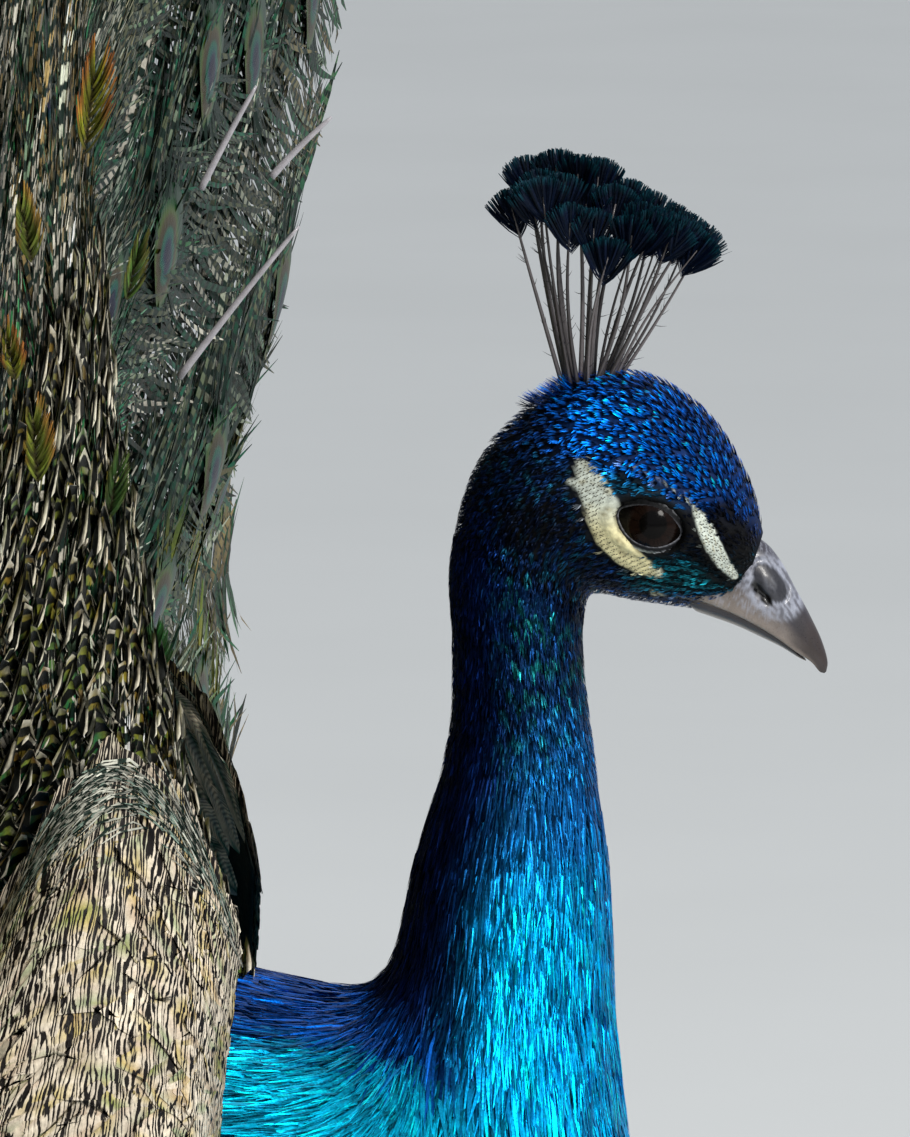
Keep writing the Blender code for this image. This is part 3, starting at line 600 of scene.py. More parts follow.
def layTufts(name, look, ground, material):
    # each tuft starts at a spot on the skin; its barbs run towards smaller p, part from each other up to the
    # middle and close in again, and rise from the skin to the coat's depth
    rng, p, q, where, size = rootsOn(ground, look)
    count, barbs, rows = len(p), look["barbs"], look["rows"]
    along, around = leanOf(ground, p, q)[1:]
    length = look["length"] * size * rng.uniform(0.8, 1.2, count)
    along = leanOf(ground, np.clip(p - length / along / 2, *ground["span"]), q)[1]
    share = np.linspace(-1, 1, barbs) + rng.normal(0, 0.5 / barbs, (count, barbs))
    t = np.linspace(0, 1, rows)
    ending = 1 - look["round"] * share ** 2 + rng.normal(0, 0.05, (count, barbs))
    start = 0.12 * rng.random((count, barbs))
    forward = length[:, None, None] * (start[..., None] + (ending - start)[..., None] * t)
    sway = rng.normal(0, look["sway"], count)[:, None, None] + rng.normal(0, look["fray"], (count, barbs, 1))
    opening = t ** 0.7 * (1 - look["close"] * t ** 2)
    sideways = look["width"] * size[:, None, None] * share[..., None] * opening + forward * sway
    depth = ground["depth"](p)[:, None, None]
    rise = depth * (0.15 + 0.85 * ease(0, 0.6, t)) * rng.uniform(0.75, 1.15, (count, barbs, 1))
    rise = rise + look["lift"] * t ** 2 * length[:, None, None] - 0.12 * depth * share[..., None] ** 2
    pAt = np.clip(p[:, None, None] - forward / along[:, None, None], *ground["span"])
    qAt = q[:, None, None] + sideways / around[:, None, None]
    path = ground["point"](pAt, qAt, rise - ground["depth"](pAt))
    taper = np.interp(t, (0, 0.25, 0.75, 1), (0.7, 1.0, 0.8, 0.08))
    half = look["barbWidth"] / 2 * size[:, None, None] * taper * rng.uniform(0.8, 1.2, (count, barbs, 1))
    roll = rng.normal(0, look["roll"], count * barbs)
    grids = ribbons(path, leanOf(ground, pAt, qAt)[0], half, 2, 0.0, roll)
    root = ground["colour"](where, p, q)
    tuftTone = np.exp(rng.normal(0, look["contrast"], (count, 1, 1)))
    barbTone = np.exp(rng.normal(0, 0.22, (count, barbs, 1)))
    # the tone along each barb: painted shade at the root and painted highlight towards the tip
    rootShadeTipShine = np.interp(t, (0, 0.35, 0.85, 1), look["rootShadeTipShine"])
    colour = root[:, None, None] * (tuftTone * barbTone)[..., None] * rootShadeTipShine[:, None]
    spots = ground["unwrap"](p, q)[:, None] + stacked(share * 0.001, 0)
    forward = forward[..., None] * 0.01 + rng.random((count, 1, 1, 1))
    lie = stacked(forward, share[..., None, None] * 0.02 + np.array((0, 0.002)))
    makeStrips(name, grids, colour, lie, spots, (0.0008, 0.003), material)


def layVanes(name, look, ground, material):
    # each feather is one leaf: t runs along it towards smaller p and u across; its half width swells quickly and
    # stays, its tip is round and a little ragged, it is bent down at its edges and rises towards its tip
    rng, p, q, where, size = rootsOn(ground, look)
    count, columns = len(p), look["columns"]
    along, around = leanOf(ground, p, q)[1:]
    length = (look["length"] * size * rng.uniform(0.85, 1.15, count))[:, None, None]
    along = leanOf(ground, np.clip(p - length[:, 0, 0] / along / 2, *ground["span"]), q)[1]
    u = np.linspace(-1, 1, columns)
    t = np.linspace(0, 1, look["rows"])[:, None]
    ragged = rng.normal(0, look["ragged"], (count, 1, columns)) * t ** 3
    forward = length * (t * (1 - look["round"] * u ** 2) + ragged)
    sway = rng.normal(0, look["sway"], (count, 1, 1))
    tip = np.sqrt(np.clip(1.02 - np.clip((t - 0.6) / 0.4, 0, 1) ** 2.5 * 0.75, 0, 1))
    sideways = (look["width"] * size[:, None, None] * u * ((0.35 + 0.65 * ease(0, 0.35, t)) * tip)
                + forward * sway)
    rise = look["base"] + look["lift"] * t ** 1.4 * rng.uniform(0.6, 1.3, (count, 1, 1))
    rise = rise - look["cup"] * u ** 2 * ease(0, 0.4, t)
    rise = rise + rng.normal(0, 0.35, (count, 1, columns)) * t + rng.normal(0, look["loose"], (count, 1, 1)) * t
    pAt = np.clip(p[:, None, None] - forward / along[:, None, None], *ground["span"])
    qAt = q[:, None, None] + sideways / around[:, None, None]
    grids = ground["point"](pAt, qAt, rise)
    flip = slice(None, None, ground["sign"])
    grids = grids[:, :, flip]
    colour = look["paint"](rng, grids, p, q, t, u)
    lie = stacked(length * t + 7.3 * rng.integers(0, 90, (count, 1, 1)), sideways)
    if look["lieOnGround"]:
        lie = stacked(-pAt * look["lieOnGround"][0] + rng.normal(0, 0.2, (count, 1, 1)),
                      qAt * look["lieOnGround"][1])
    makeStrips(name, grids, colour[:, :, flip], lie[:, :, flip] * 0.01, ground["unwrap"](p, q), (0.003, 0.003),
               material)


def offMarkings(where, station, turn):  # no tufts on bare white skin, in the eye's opening or under the bill
    out = np.abs(where[..., 1])
    bare = whiteShare(where, False) * (out > 6) * (station > 12.5)
    return np.where((eyeDistance(where[..., 0], where[..., 2]) < 1.44) & (out > 8), 0, 1 - bare)


def crownShare(where, station, turn):
    crownLine = np.interp(where[..., 0], *markings["crownEdge"]) - 1
    return offMarkings(where, station, turn) * ease(crownLine - 2, crownLine + 2, where[..., 2])


def faceShare(where, station, turn):
    return offMarkings(where, station, turn) * (1 - crownShare(where, station, turn))


def bareShare(where, station, turn):  # bristles only on the bare white skin
    return ease(0.75, 0.95, whiteShare(where)) * (np.abs(where[..., 1]) > 6) * (station > 12.5)


def crestFoot(where, station, turn):  # a ruff round the foot of the crest
    return np.hypot((where[..., 0] - 25.5) / 7.5, where[..., 1] / 7) < 1


def smallForward(where, station, turn):  # smaller towards the bill
    return np.interp(station, (12.5, 14, 17, 19), (1.25, 1.0, 0.85, 0.55))


coatMaterial = tintMaterial("blue plumage", 0.85, 0.38, 1500, 0.30, 0.00015, 0.0, 0.15)
softMaterial = tintMaterial("soft dark plumage", 0.15, 0.6, 1200, 0.30, 0.0002, 0.1, 0.2)

# What every tuft shares: lengths in millimetres; the tone from root to tip is painted shade at the root, where
# the tufts lie over each other, and painted highlight towards the tip
tuft = {"q": allRound, "keep": None, "size": None, "rows": 3, "round": 0.3, "close": 0.4, "fray": 0.05,
        "lift": 0.01, "roll": 0.3}
neckTuft = dict(tuft, keep=offMarkings)
tufts = {
    "crownTufts": dict(tuft, seed=11, count=2900, p=(13.0, 18.9), keep=crownShare, size=smallForward, barbs=5,
                       rows=4, length=3.0, width=0.72, barbWidth=0.46, round=0.25, close=0.2, sway=0.30,
                       fray=0.12, lift=0.22, roll=0.25, contrast=0.45, rootShadeTipShine=(0.01, 0.03, 1.0, 1.6)),
    "faceTufts": dict(tuft, seed=12, count=6500, p=(12.4, 18.95), keep=faceShare, size=smallForward, barbs=4,
                      length=2.5, width=0.55, barbWidth=0.34, close=0.3, sway=0.18, fray=0.12, lift=0.06,
                      contrast=0.60, rootShadeTipShine=(0.15, 0.5, 1.3, 1.6)),
    "upperNeckTufts": dict(neckTuft, seed=13, count=3900, p=(10.9, 13.3), barbs=6, length=5.2, width=0.95,
                           barbWidth=0.42, close=0.3, sway=0.10, fray=0.10, lift=0.05, contrast=0.55,
                           rootShadeTipShine=(0.12, 0.5, 1.3, 1.6)),
    "lowerNeckTufts": dict(neckTuft, seed=14, count=4100, p=(8.9, 11.4), barbs=8, length=15, width=1.9,
                           barbWidth=0.50, sway=0.07, roll=0.35, contrast=0.42, rootShadeTipShine=(0.2, 0.6, 1.2, 1.3)),
    "breastTufts": dict(neckTuft, seed=15, count=3700, p=(5.6, 9.5), barbs=9, length=25, width=4.6,
                        barbWidth=1.05, sway=0.10, contrast=0.38, rootShadeTipShine=(0.2, 0.6, 1.2, 1.35)),
}
tufts["ruffTufts"] = dict(tufts["crownTufts"], seed=18, count=900, p=(13.6, 16.6), q=(-0.9, 0.9), keep=crestFoot,
                          length=4.6, width=0.5, barbWidth=0.4, lift=0.75, sway=0.5)
bristles = dict(tuft, seed=19, count=16000, p=(13.0, 18.9), keep=bareShare, barbs=2, length=0.7, width=0.08,
                barbWidth=0.18, close=0.3, sway=0.25, fray=0.1, lift=0.15, contrast=0.5, rootShadeTipShine=(1, 1, 1, 1))
bareGround = bodyGround | {"point": lambda p, q, grow=0.0: bodyPoint(p, q, grow + 0.70 - coatDepth(p)),
                           "depth": lambda p: np.full(p.shape, 0.15),
                           "colour": lambda where, p, q: np.ones_like(where) * markings["bristle"]}
for name, look in tufts.items():
    layTufts(name, look, bodyGround, coatMaterial)
layTufts("faceBristles", bristles, bareGround, softMaterial)


# Eyes with their lids

eyeLook = {"rows": 48, "sides": 72, "bulge": 0.35, "gaze": (0.10, 0.03), "irisEnd": (5.2, 6.6),
           "pupilEnd": (3.6, 3.0), "iris": paint(25, 14, 10), "irisEdge": paint(8, 6, 5),
           "pupil": paint(4, 3, 3), "lid": paint(7, 8, 12), "rim": paint(128, 130, 138),
           "fleck": paint(176, 178, 184), "white": markings["white"]}
eyeMaterial = glossMaterial("eye", 0.14, 0.06, 0.07)
lidMaterial = tintMaterial("bare lid skin", 0.0, 0.55, 2200, 0.35, 0.0002, 0.0, 0.2)


def makeEye(name, side):
    # a ball round an axis that looks outwards, with a low dome over the iris;
    # colours follow the angle from the axis
    eye = markings["eye"]
    centre = np.array(eye["place"]) * (1, side, 1)
    axis = unit(np.array((eyeLook["gaze"][0], side, eyeLook["gaze"][1])))
    first = unit(np.cross(axis, (0, 0, 1.0)))
    second = np.cross(axis, first)
    polar = (np.linspace(0.02, 0.98, eyeLook["rows"]) ** 1.4)[:, None] * math.pi
    angle = turns(eyeLook["sides"])
    radius = eye["radius"] - 0.1 + eyeLook["bulge"] * np.exp(-(polar / 0.62) ** 4)
    along = (radius * np.cos(polar))[..., None] * axis
    out = (radius * np.sin(polar))[..., None]
    rings = centre + along + out * (np.cos(angle)[..., None] * first + np.sin(angle)[..., None] * second)
    away = eye["radius"] * np.sin(np.minimum(polar, math.pi / 2))
    streak = 0.75 + 0.25 * np.sin(angle * 23 + 2 * np.sin(angle * 7))
    colour = layered(eyeLook, eyeLook["iris"] * streak[..., None], ("irisEdge", ease(*eyeLook["irisEnd"], away)),
                     ("pupil", ease(*eyeLook["pupilEnd"], away)))
    makeTubes(name, rings[None], colour[None], eyeMaterial, (name.replace("eyeball", "eye"),))


s, t = np.meshgrid(np.linspace(12.8, 18.9, 160), np.linspace(0.35, 2.8, 160), indexing="ij")
sidePoints = skinPoint(s, t).reshape(-1, 3)
sideOpen = sidePoints[eyeDistance(sidePoints[:, 0], sidePoints[:, 2]) > 1.25]


def sideDepth(x, z):  # how far out the skin lies at a place seen from the side
    away = (x[..., None] - sideOpen[:, 0]) ** 2 + (z[..., None] - sideOpen[:, 2]) ** 2
    near = np.argsort(away, axis=-1)[..., :6]
    weight = 1 / (np.take_along_axis(away, near, axis=-1) + 0.05)
    return (sideOpen[:, 1][near] * weight).sum(-1) / weight.sum(-1)


def makeLids(name, side):
    # a rounded roll carried round the opening: it rises from the ball, turns over and runs out onto the skin
    eye, sides, rows = markings["eye"], 96, 12
    tilt = math.radians(eye["tilt"])
    angle = turns(sides)[:, None]
    out = np.concatenate((np.linspace(0, 1, rows), (0.8, 0.4)))
    under = np.array([0.0] * rows + [1.6, 1.6])
    long = (6.9 + 3.6 * out) * np.cos(angle) * (1 + 0.10 * np.cos(angle) ** 8)
    high = (4.75 - 0.7 * ease(0.0, 0.6, np.sin(angle)) * (1 - out) + 2.9 * out) * np.sin(angle)
    x = eye["place"][0] + long * math.cos(tilt) + high * math.sin(tilt)
    z = eye["place"][2] - long * math.sin(tilt) + high * math.cos(tilt)
    ball = eye["place"][1] + np.sqrt(np.maximum(eye["radius"] ** 2 - long ** 2 - high ** 2, 4.0))
    roll = 0.6 * np.sin(math.pi * np.clip(out * 1.35, 0, 1)) ** 0.7
    wrinkle = 0.10 * np.sin(angle * 31 + 9 * out) * np.sin(math.pi * out)
    y = ball - 0.25 + (sideDepth(x, z) + 0.15 - ball) * ease(0.15, 1.0, out) + roll + wrinkle - under
    points = stacked(x, y * side, z)
    fleck = ease(0.0, 0.4, ripple(points, 0.7, 21)) * ease(-0.1, 0.5, np.cos(angle)) * ease(0.35, 0.6, out)
    broken = ease(-0.5, 0.3, ripple(points, 1.3, 22))
    pale = ease(0.35, 0.75, out) * ease(-0.15, -0.8, np.sin(angle)) * ease(0.55, -0.1, np.cos(angle))
    colour = layered(eyeLook, "lid",
                     ("rim", ease(0.20, 0.08, out) * (0.25 + 0.6 * broken * ease(0.7, -0.4, np.sin(angle)))),
                     ("fleck", fleck * 0.85), ("white", 0.75 * pale))
    faces = [gridFaces(sides, rows + 2, closed=True, ring=True)]
    faces = outward(points.reshape(-1, 3) - points.mean(axis=(0, 1)), faces)
    makePiece(name, points.reshape(-1, 3), faces, lidMaterial, colour.reshape(-1, 3))


for side, label in ((-1, "right"), (1, "left")):
    makeEye("eyeball_" + label, side)
    makeLids("lids_" + label, side)


# The bill

bill = {
    "upper": ((64, 630, 56, 614, 7.8), (73, 626.5, 64, 611, 7.1), (77.5, 621.5, 71, 607.5, 6.2),
              (81, 615, 76.5, 604, 5.2), (84.5, 608.5, 81, 600.5, 3.9), (87.5, 602, 85, 597.5, 2.4),
              (88.8, 597, 87, 595, 1.2), (88.5, 594.9, 88.0, 594.5, 0.3)),
    "lower": ((58, 609.2, 54, 614.2, 6.8), (67, 606.0, 64, 610.6, 6.0), (73, 603.2, 71, 607.1, 5.0),
              (78, 600.7, 76.5, 603.6, 3.8), (82, 598.2, 81, 600.1, 2.4), (83.7, 597.4, 83.4, 598.0, 0.4)),
    # ovals: x, z, half length, half height, tilt
    "flap": (75.0, 616.8, 5.6, 3.1, 54), "slit": (73.0, 614.4, 4.2, 1.1, 50),
    "groove": (75.2, 617.4, 6.4, 3.8, 52), "ring": (75.8, 615.6, 9.8, 7.0, 50),
    "horn": paint(46, 43, 50), "bloom": paint(150, 154, 168), "tip": paint(46, 36, 34),
    "edge": paint(150, 138, 128), "dark": paint(22, 22, 32), "slitColour": paint(5, 5, 8),
    "culmen": paint(60, 60, 74),
}
billMaterial = glossMaterial("horn", 0.36, 0.15)


def makeBill(name, table, rows, keel):
    # half round from mouth edge to mouth edge over the ridge, closed by a flat floor; stations taper to the tip
    row = curveThrough(np.array(table, float), np.linspace(0, len(table) - 1, rows))
    angle = np.linspace(0, math.pi, 61)
    over = stacked(np.cos(angle), np.sin(angle) ** 0.85)
    side, up = np.concatenate((over, stacked(np.linspace(-0.9, 0.9, 9), -0.02))).T
    ridge, edge = row[:, None, 0:2], row[:, None, 2:4]
    centre = edge + (ridge - edge) * up[:, None]
    x, y, z = centre[..., 0], row[:, None, 4] * side, centre[..., 1]
    points = stacked(x, y, z)
    share = np.linspace(0, 1, rows)[:, None]
    push = 0
    layers = [("edge", 0.65 * ease(0.3, 0.8, up)), ("tip", ease(0.55, 1.0, share) * 0.5)]
    if not keel:
        flap, slit, groove, ring = (np.clip(1 - tilted(x, z, bill[part]), 0, 1)
                                    for part in ("flap", "slit", "groove", "ring"))
        push = 0.6 * ease(0, 0.7, flap) - 1.5 * ease(0, 0.5, slit) - 0.4 * ease(0, 0.1, groove) * (flap < 0.02)
        ring = ease(0.0, 0.25, ring)
        grain = ripple(points * (1, 0.6, 1), 1.3, 31)
        streak = ripple(stacked(x * 0.35 + z * 0.6, y * 0.5, x * 1.9 + z * 0.9), 1.5, 33)
        flake = ease(0.1, 0.6, ripple(points, 0.9, 35)) * ease(0.5, 0.2, share)
        layers = [("culmen", ease(0.82, 1.0, up) * 0.5),
                  ("edge", 0.5 * ease(0.5, 0.15, up) * ease(0.8, 0.4, share)),
                  ("bloom", ring * (0.30 + 0.6 * ease(-0.55, 0.35, streak + 0.3 * grain))),
                  ("bloom", 0.5 * flake * (1 - ring)),
                  ("tip", ease(0.46, 0.66, share) * (0.95 - 0.25 * ease(0.1, 0.7, streak))),
                  ("dark", 0.94 * ease(0.0, 0.10, flap) * (1 - 0.2 * ease(0.4, 0.9, flap))),
                  # the nostril's slit is painted near black, a painted shade in its opening
                  ("slitColour", ease(0, 0.15, slit)), ("dark", 0.35 * ease(0.86, 1.0, share))]
    layers.append(("edge", 0.7 * ease(0.12, 0.0, up) * ease(0.95, 0.6, share)))
    colour = layered(bill, "horn", *layers)
    points[..., 1] += push * np.sign(y) * (np.abs(side) > 0.3)
    node = "bill_lower" if keel else "bill_upper"
    makeTubes(name, points[None], colour[None], billMaterial, (node,))


makeBill("billUpper", bill["upper"], 150, False)
makeBill("billLower", bill["lower"], 50, True)


# The crest

crest = {
    "seed": 41, "root": (31.5, 663.0), "rootSpan": 12.5, "shaft": (0.28, 0.6), "lower": 3.4, "hairs": 8,
    "tips": (  # x, side, z of each shaft's top
        (25, -3, 713), (38, 1, 710), (31, 1, 710), (44.5, 0, 706), (20, 2, 713.5), (49, 0, 704.5),
        (13.5, -3, 709.5), (17, 4, 716.5), (18, -5, 711.5), (21, -7, 712.5), (23.8, 5, 718), (27.4, -8, 706.5),
        (29, 2, 717), (33, -6, 705), (33.8, 5, 716), (36.5, -8, 698.5), (41, 4, 711), (42, -7, 703.5),
        (46.6, -6, 704.5), (47, 4.5, 708), (51, -5, 703), (52, 4, 705), (54.6, -4, 702.5), (55.5, 2, 703),
        (57.4, -3, 699.5), (58.5, 0, 701)),
    "barbs": 120, "length": 5.4, "wide": 6.4, "tall": 7.8, "barbWidth": 0.44,
    "shaftColour": paint(120, 114, 116), "shaftDark": paint(26, 22, 24),
    "fanColour": paint(3, 12, 22), "fanEdge": paint(6, 62, 74), "fanBlue": paint(4, 20, 50),
}
crestMaterial = tintMaterial("crest feathers", 0.35, 0.45, 1500, 0.3, 0.0002, 0.0, 0.15)
shaftMaterial = glossMaterial("feather shafts", 0.4, 0.2)


def makeCrest():
    # shafts fan out from the crown, each bowed a little, and carry a brush of barbs at the tip
    # and loose hairs below
    rng = np.random.default_rng(crest["seed"])
    tip = np.array(crest["tips"], float) - (0, 0, crest["lower"])
    count = len(tip)
    share = (tip[:, 0] - 11) / 50
    root = stacked(crest["root"][0] + (share - 0.5) * crest["rootSpan"], tip[:, 1] * 0.35, crest["root"][1])
    root[:, 2] -= 0.02 * (root[:, 0] - crest["root"][0]) ** 2
    bow = np.cross(tip - root, (0, 1.0, 0)) * rng.uniform(-0.05, 0.05, (count, 1))

    def onShafts(at):  # a straight line from root to tip, bowed by a half sine
        return (root[:, None] + (tip - root)[:, None] * at[..., None]
                + bow[:, None] * np.sin(math.pi * at)[..., None])

    t = np.linspace(0, 1, 14)
    thick = rng.uniform(*crest["shaft"], (count, 1)) * ease(36, 18, np.abs(tip[:, :1] - 34)) + 0.1
    radii = thick * np.interp(t, (0, 0.8, 1), (1.0, 0.55, 0.3))
    tone = rng.uniform(0, 1, (count, 1, 1)) * 0.55 + 0.35 + 0.1 * t[:, None]
    colour = layered(crest, "shaftColour", ("shaftDark", tone))
    spots = stacked(0.05 + 0.9 * share, 0.1)
    makeTubes("crestShafts", tubeRings(onShafts(t), radii, 6), colour, shaftMaterial, ("crest",), spots,
              (0.01, 0.1))
    barbs = crest["barbs"]
    line = unit(tip - root)
    turned = rng.uniform(-0.7, 0.7, count)[:, None]
    wide = unit(np.cross((0, 1.0, 0), line))
    flat = np.cross(line, wide)
    wide, flat = wide * np.cos(turned) + flat * np.sin(turned), flat * np.cos(turned) - wide * np.sin(turned)
    f = np.linspace(-1, 1, barbs) + rng.normal(0, 0.02, (count, barbs))
    u = np.linspace(0, 1, 5)
    begin = -crest["tall"] * (0.35 + 0.55 * np.abs(f)) * rng.uniform(0.9, 1.1, f.shape)
    finish = crest["length"] * (0.85 - 0.55 * np.abs(f) ** 2.2) * rng.uniform(0.94, 1.06, f.shape)
    along = begin[..., None] + (finish - begin)[..., None] * u
    across = (crest["wide"] * f * rng.uniform(0.92, 1.08, f.shape))[..., None] * u ** 0.75
    out = rng.normal(0, 1.1, (count, barbs, 1)) * u + 1.5 * np.cos(f * 2)[..., None] * u
    path = (tip[:, None, None] + line[:, None, None] * along[..., None] + wide[:, None, None] * across[..., None]
            + flat[:, None, None] * out[..., None])
    normal = unit(flat[:, None, None] + rng.normal(0, 0.35, (count, barbs, 1, 3)))
    half = crest["barbWidth"] / 2 * np.interp(u, (0, 0.5, 0.85, 1), (0.35, 0.9, 1.0, 0.45))
    grids = ribbons(path, normal, half, 2, 0, rng.normal(0, 0.3, count * barbs))
    colour = layered(crest, "fanColour", ("fanBlue", 0.7 * rng.random((count, barbs, 1))),
                     ("fanEdge", np.interp(u, (0.75, 1), (0, 1)) * rng.uniform(0, 1, (count, barbs, 1))))
    lie = stacked(f[..., None, None] * 0.5 + 0.5, u[:, None] * np.ones(2))
    spots = stacked(0.05 + 0.9 * share[:, None], 0.5 + 0.1 * f)
    makeStrips("crestFans", grids, colour, lie, spots, (0.003, 0.003), crestMaterial)
    hairs = crest["hairs"]
    at = rng.uniform(0.12, 0.85, (count, hairs))
    lean = rng.choice((-1.0, 1.0), (count, hairs, 1)) * wide[:, None] + rng.normal(0, 0.4, (count, hairs, 3))
    hair = unit(unit(lean) * 0.75 + line[:, None] * 0.7) * rng.uniform(1.2, 3.0, (count, hairs, 1))
    u = np.linspace(0, 1, 3)[:, None]
    path = onShafts(at)[:, :, None] + hair[:, :, None] * u + line[:, None, None] * 0.5 * u ** 2
    colour = crest["shaftDark"] * 1.4 * np.ones((count * hairs, 3, 1, 1))
    spots = stacked(0.05 + 0.9 * share[:, None], 0.3 + 0 * at)
    makeStrips("crestHairs", ribbons(path, flat[:, None, None], (0.10, 0.08, 0.02), 2), colour, None, spots,
               (0.003, 0.003), shaftMaterial)


makeCrest()


# The raised fan: its face, the small feathers of the back, the long feathers and their eyes

fan = {
    "centreZ": 440.0, "halfAngle": 95.0, "sideLength": 1000.0, "topLength": 1130.0, "rootEnd": 260.0,
    "middle": (-112.0, 62.0, 150.0, 90.0), "side": (-50.0, -215.0, 260.0), "hang": (76.0, 10.0, 40.0),
}


def fanRim(angle):  # how far the longest feathers reach in each direction
    return fan["sideLength"] + (fan["topLength"] - fan["sideLength"]) * np.cos(angle) ** 2


def fanPoint(radius, angle, back=0.0):
    # steep over the back, dished at the sides, the top bent forward; the lowest feathers hang back
    start, drop, reach, bend = fan["middle"]
    middle = start + drop * np.exp(-(radius - 80) / reach) + bend * (radius / fan["topLength"]) ** 2
    lowest, over, hung = fan["hang"]
    hang = hung * ease(lowest, lowest + over, np.abs(np.degrees(angle))) * radius / fan["sideLength"]
    end, sweep, reach = fan["side"]
    side = end + sweep * np.exp(-(radius - 60) / reach) - hang
    x = middle * np.cos(angle) ** 2 + side * np.sin(angle) ** 2 - back
    return stacked(x, radius * np.sin(angle), fan["centreZ"] + radius * np.cos(angle))


def fanLean(radius, angle):  # normal of the fan's face, towards the head
    out = fanPoint(radius + 2, angle) - fanPoint(radius - 2, angle)
    around = fanPoint(radius, angle + 0.01) - fanPoint(radius, angle - 0.01)
    return unit(np.cross(around, out))


def fanUnwrap(radius, angle):  # the fan laid flat
    top = fan["topLength"]
    return stacked(0.5 + 0.42 * radius / top * np.sin(angle), 0.12 + 0.72 * radius / top * np.cos(angle))


featherMaterial = barredMaterial("train barbs", 0.25, 6.5, 5.0, -0.5, paint(16, 36, 28))

train = {
    "seed": 51, "fishtails": 45, "rootRadius": 92.0, "layer": 1.5, "barbsPerSide": 196, "barbRows": 4,
    # rings of eyes: share of the rim's reach, number of feathers
    "rings": ((0.285, 12), (0.35, 13), (0.42, 14), (0.495, 15), (0.575, 16), (0.66, 17), (0.75, 18),
              (0.845, 19)),
    "barbLength": (40.0, 72.0), "barbWidth": (1.2, 2.7), "shaft": (1.5, 0.45),
    "silver": paint(196, 190, 174), "bronze": paint(140, 118, 74), "green": paint(40, 104, 60),
    "teal": paint(10, 70, 60), "dark": paint(40, 44, 34), "quillColour": paint(176, 172, 178),
    "shaftColour": paint(206, 196, 178), "shaftBrown": paint(112, 92, 74), "fringe": paint(124, 140, 40),
    # the last colour is a painted shade multiplied into the eyes on the far side
    "fringeGold": paint(172, 128, 44), "farEyeShade": np.array((0.16, 0.42, 0.22)),
    "quills": (((-72.5, 110, 649.5), (-42.5, 110, 687.5)), ((-67.5, 120, 695.5), (-53.5, 118, 721.5)),
               ((-49.5, 112, 699.5), (-34.5, 112, 714.5))),
}


def trainFeathers():  # angle, tip radius, depth behind the face and size of the eye for every long feather
    rng = np.random.default_rng(train["seed"])
    whole = math.radians(fan["halfAngle"])
    rows = []
    for number, (reach, count) in enumerate(train["rings"]):
        angle = np.linspace(-whole, whole, count) * (0.97 if number % 2 else 0.93) + rng.normal(0, 0.012, count)
        tips = fanRim(angle) * reach * rng.uniform(0.98, 1.02, count)
        rows.append(stacked(angle, tips, 1.0 + train["layer"] * number, 0.62 + 0.055 * number))
    count = train["fishtails"]
    angle = ((np.arange(count) + 0.5) / count * 2 - 1) * whole
    depth = 1.0 + train["layer"] * (len(train["rings"]) + 1)
    rows.append(stacked(angle, fanRim(angle) * rng.uniform(0.955, 0.995, count), depth, 0))
    return np.concatenate(rows).T


longFeathers = trainFeathers()
featherAngle, featherTip, featherDepth, eyeSize = longFeathers


def makeTrainShafts():
    # each shaft runs out along the fan's face at its own angle and depth, and thins towards its tip
    t = np.linspace(0, 1, 26)
    radius = train["rootRadius"] + (featherTip[:, None] - train["rootRadius"] - 6) * t
    path = fanPoint(radius, featherAngle[:, None] * (0.9 + 0.1 * t), featherDepth[:, None] + 1.2)
    radii = np.broadcast_to(np.interp(t, (0, 1), train["shaft"]), radius.shape)
    colour = layered(train, "shaftColour", ("shaftBrown", 0.15 + 0.6 * t[:, None]))
    spots = fanUnwrap(featherTip * 0.5, featherAngle)
    makeTubes("trainShafts", tubeRings(path, radii, 5), colour, shaftMaterial, (), spots, (0.002, 0.3))


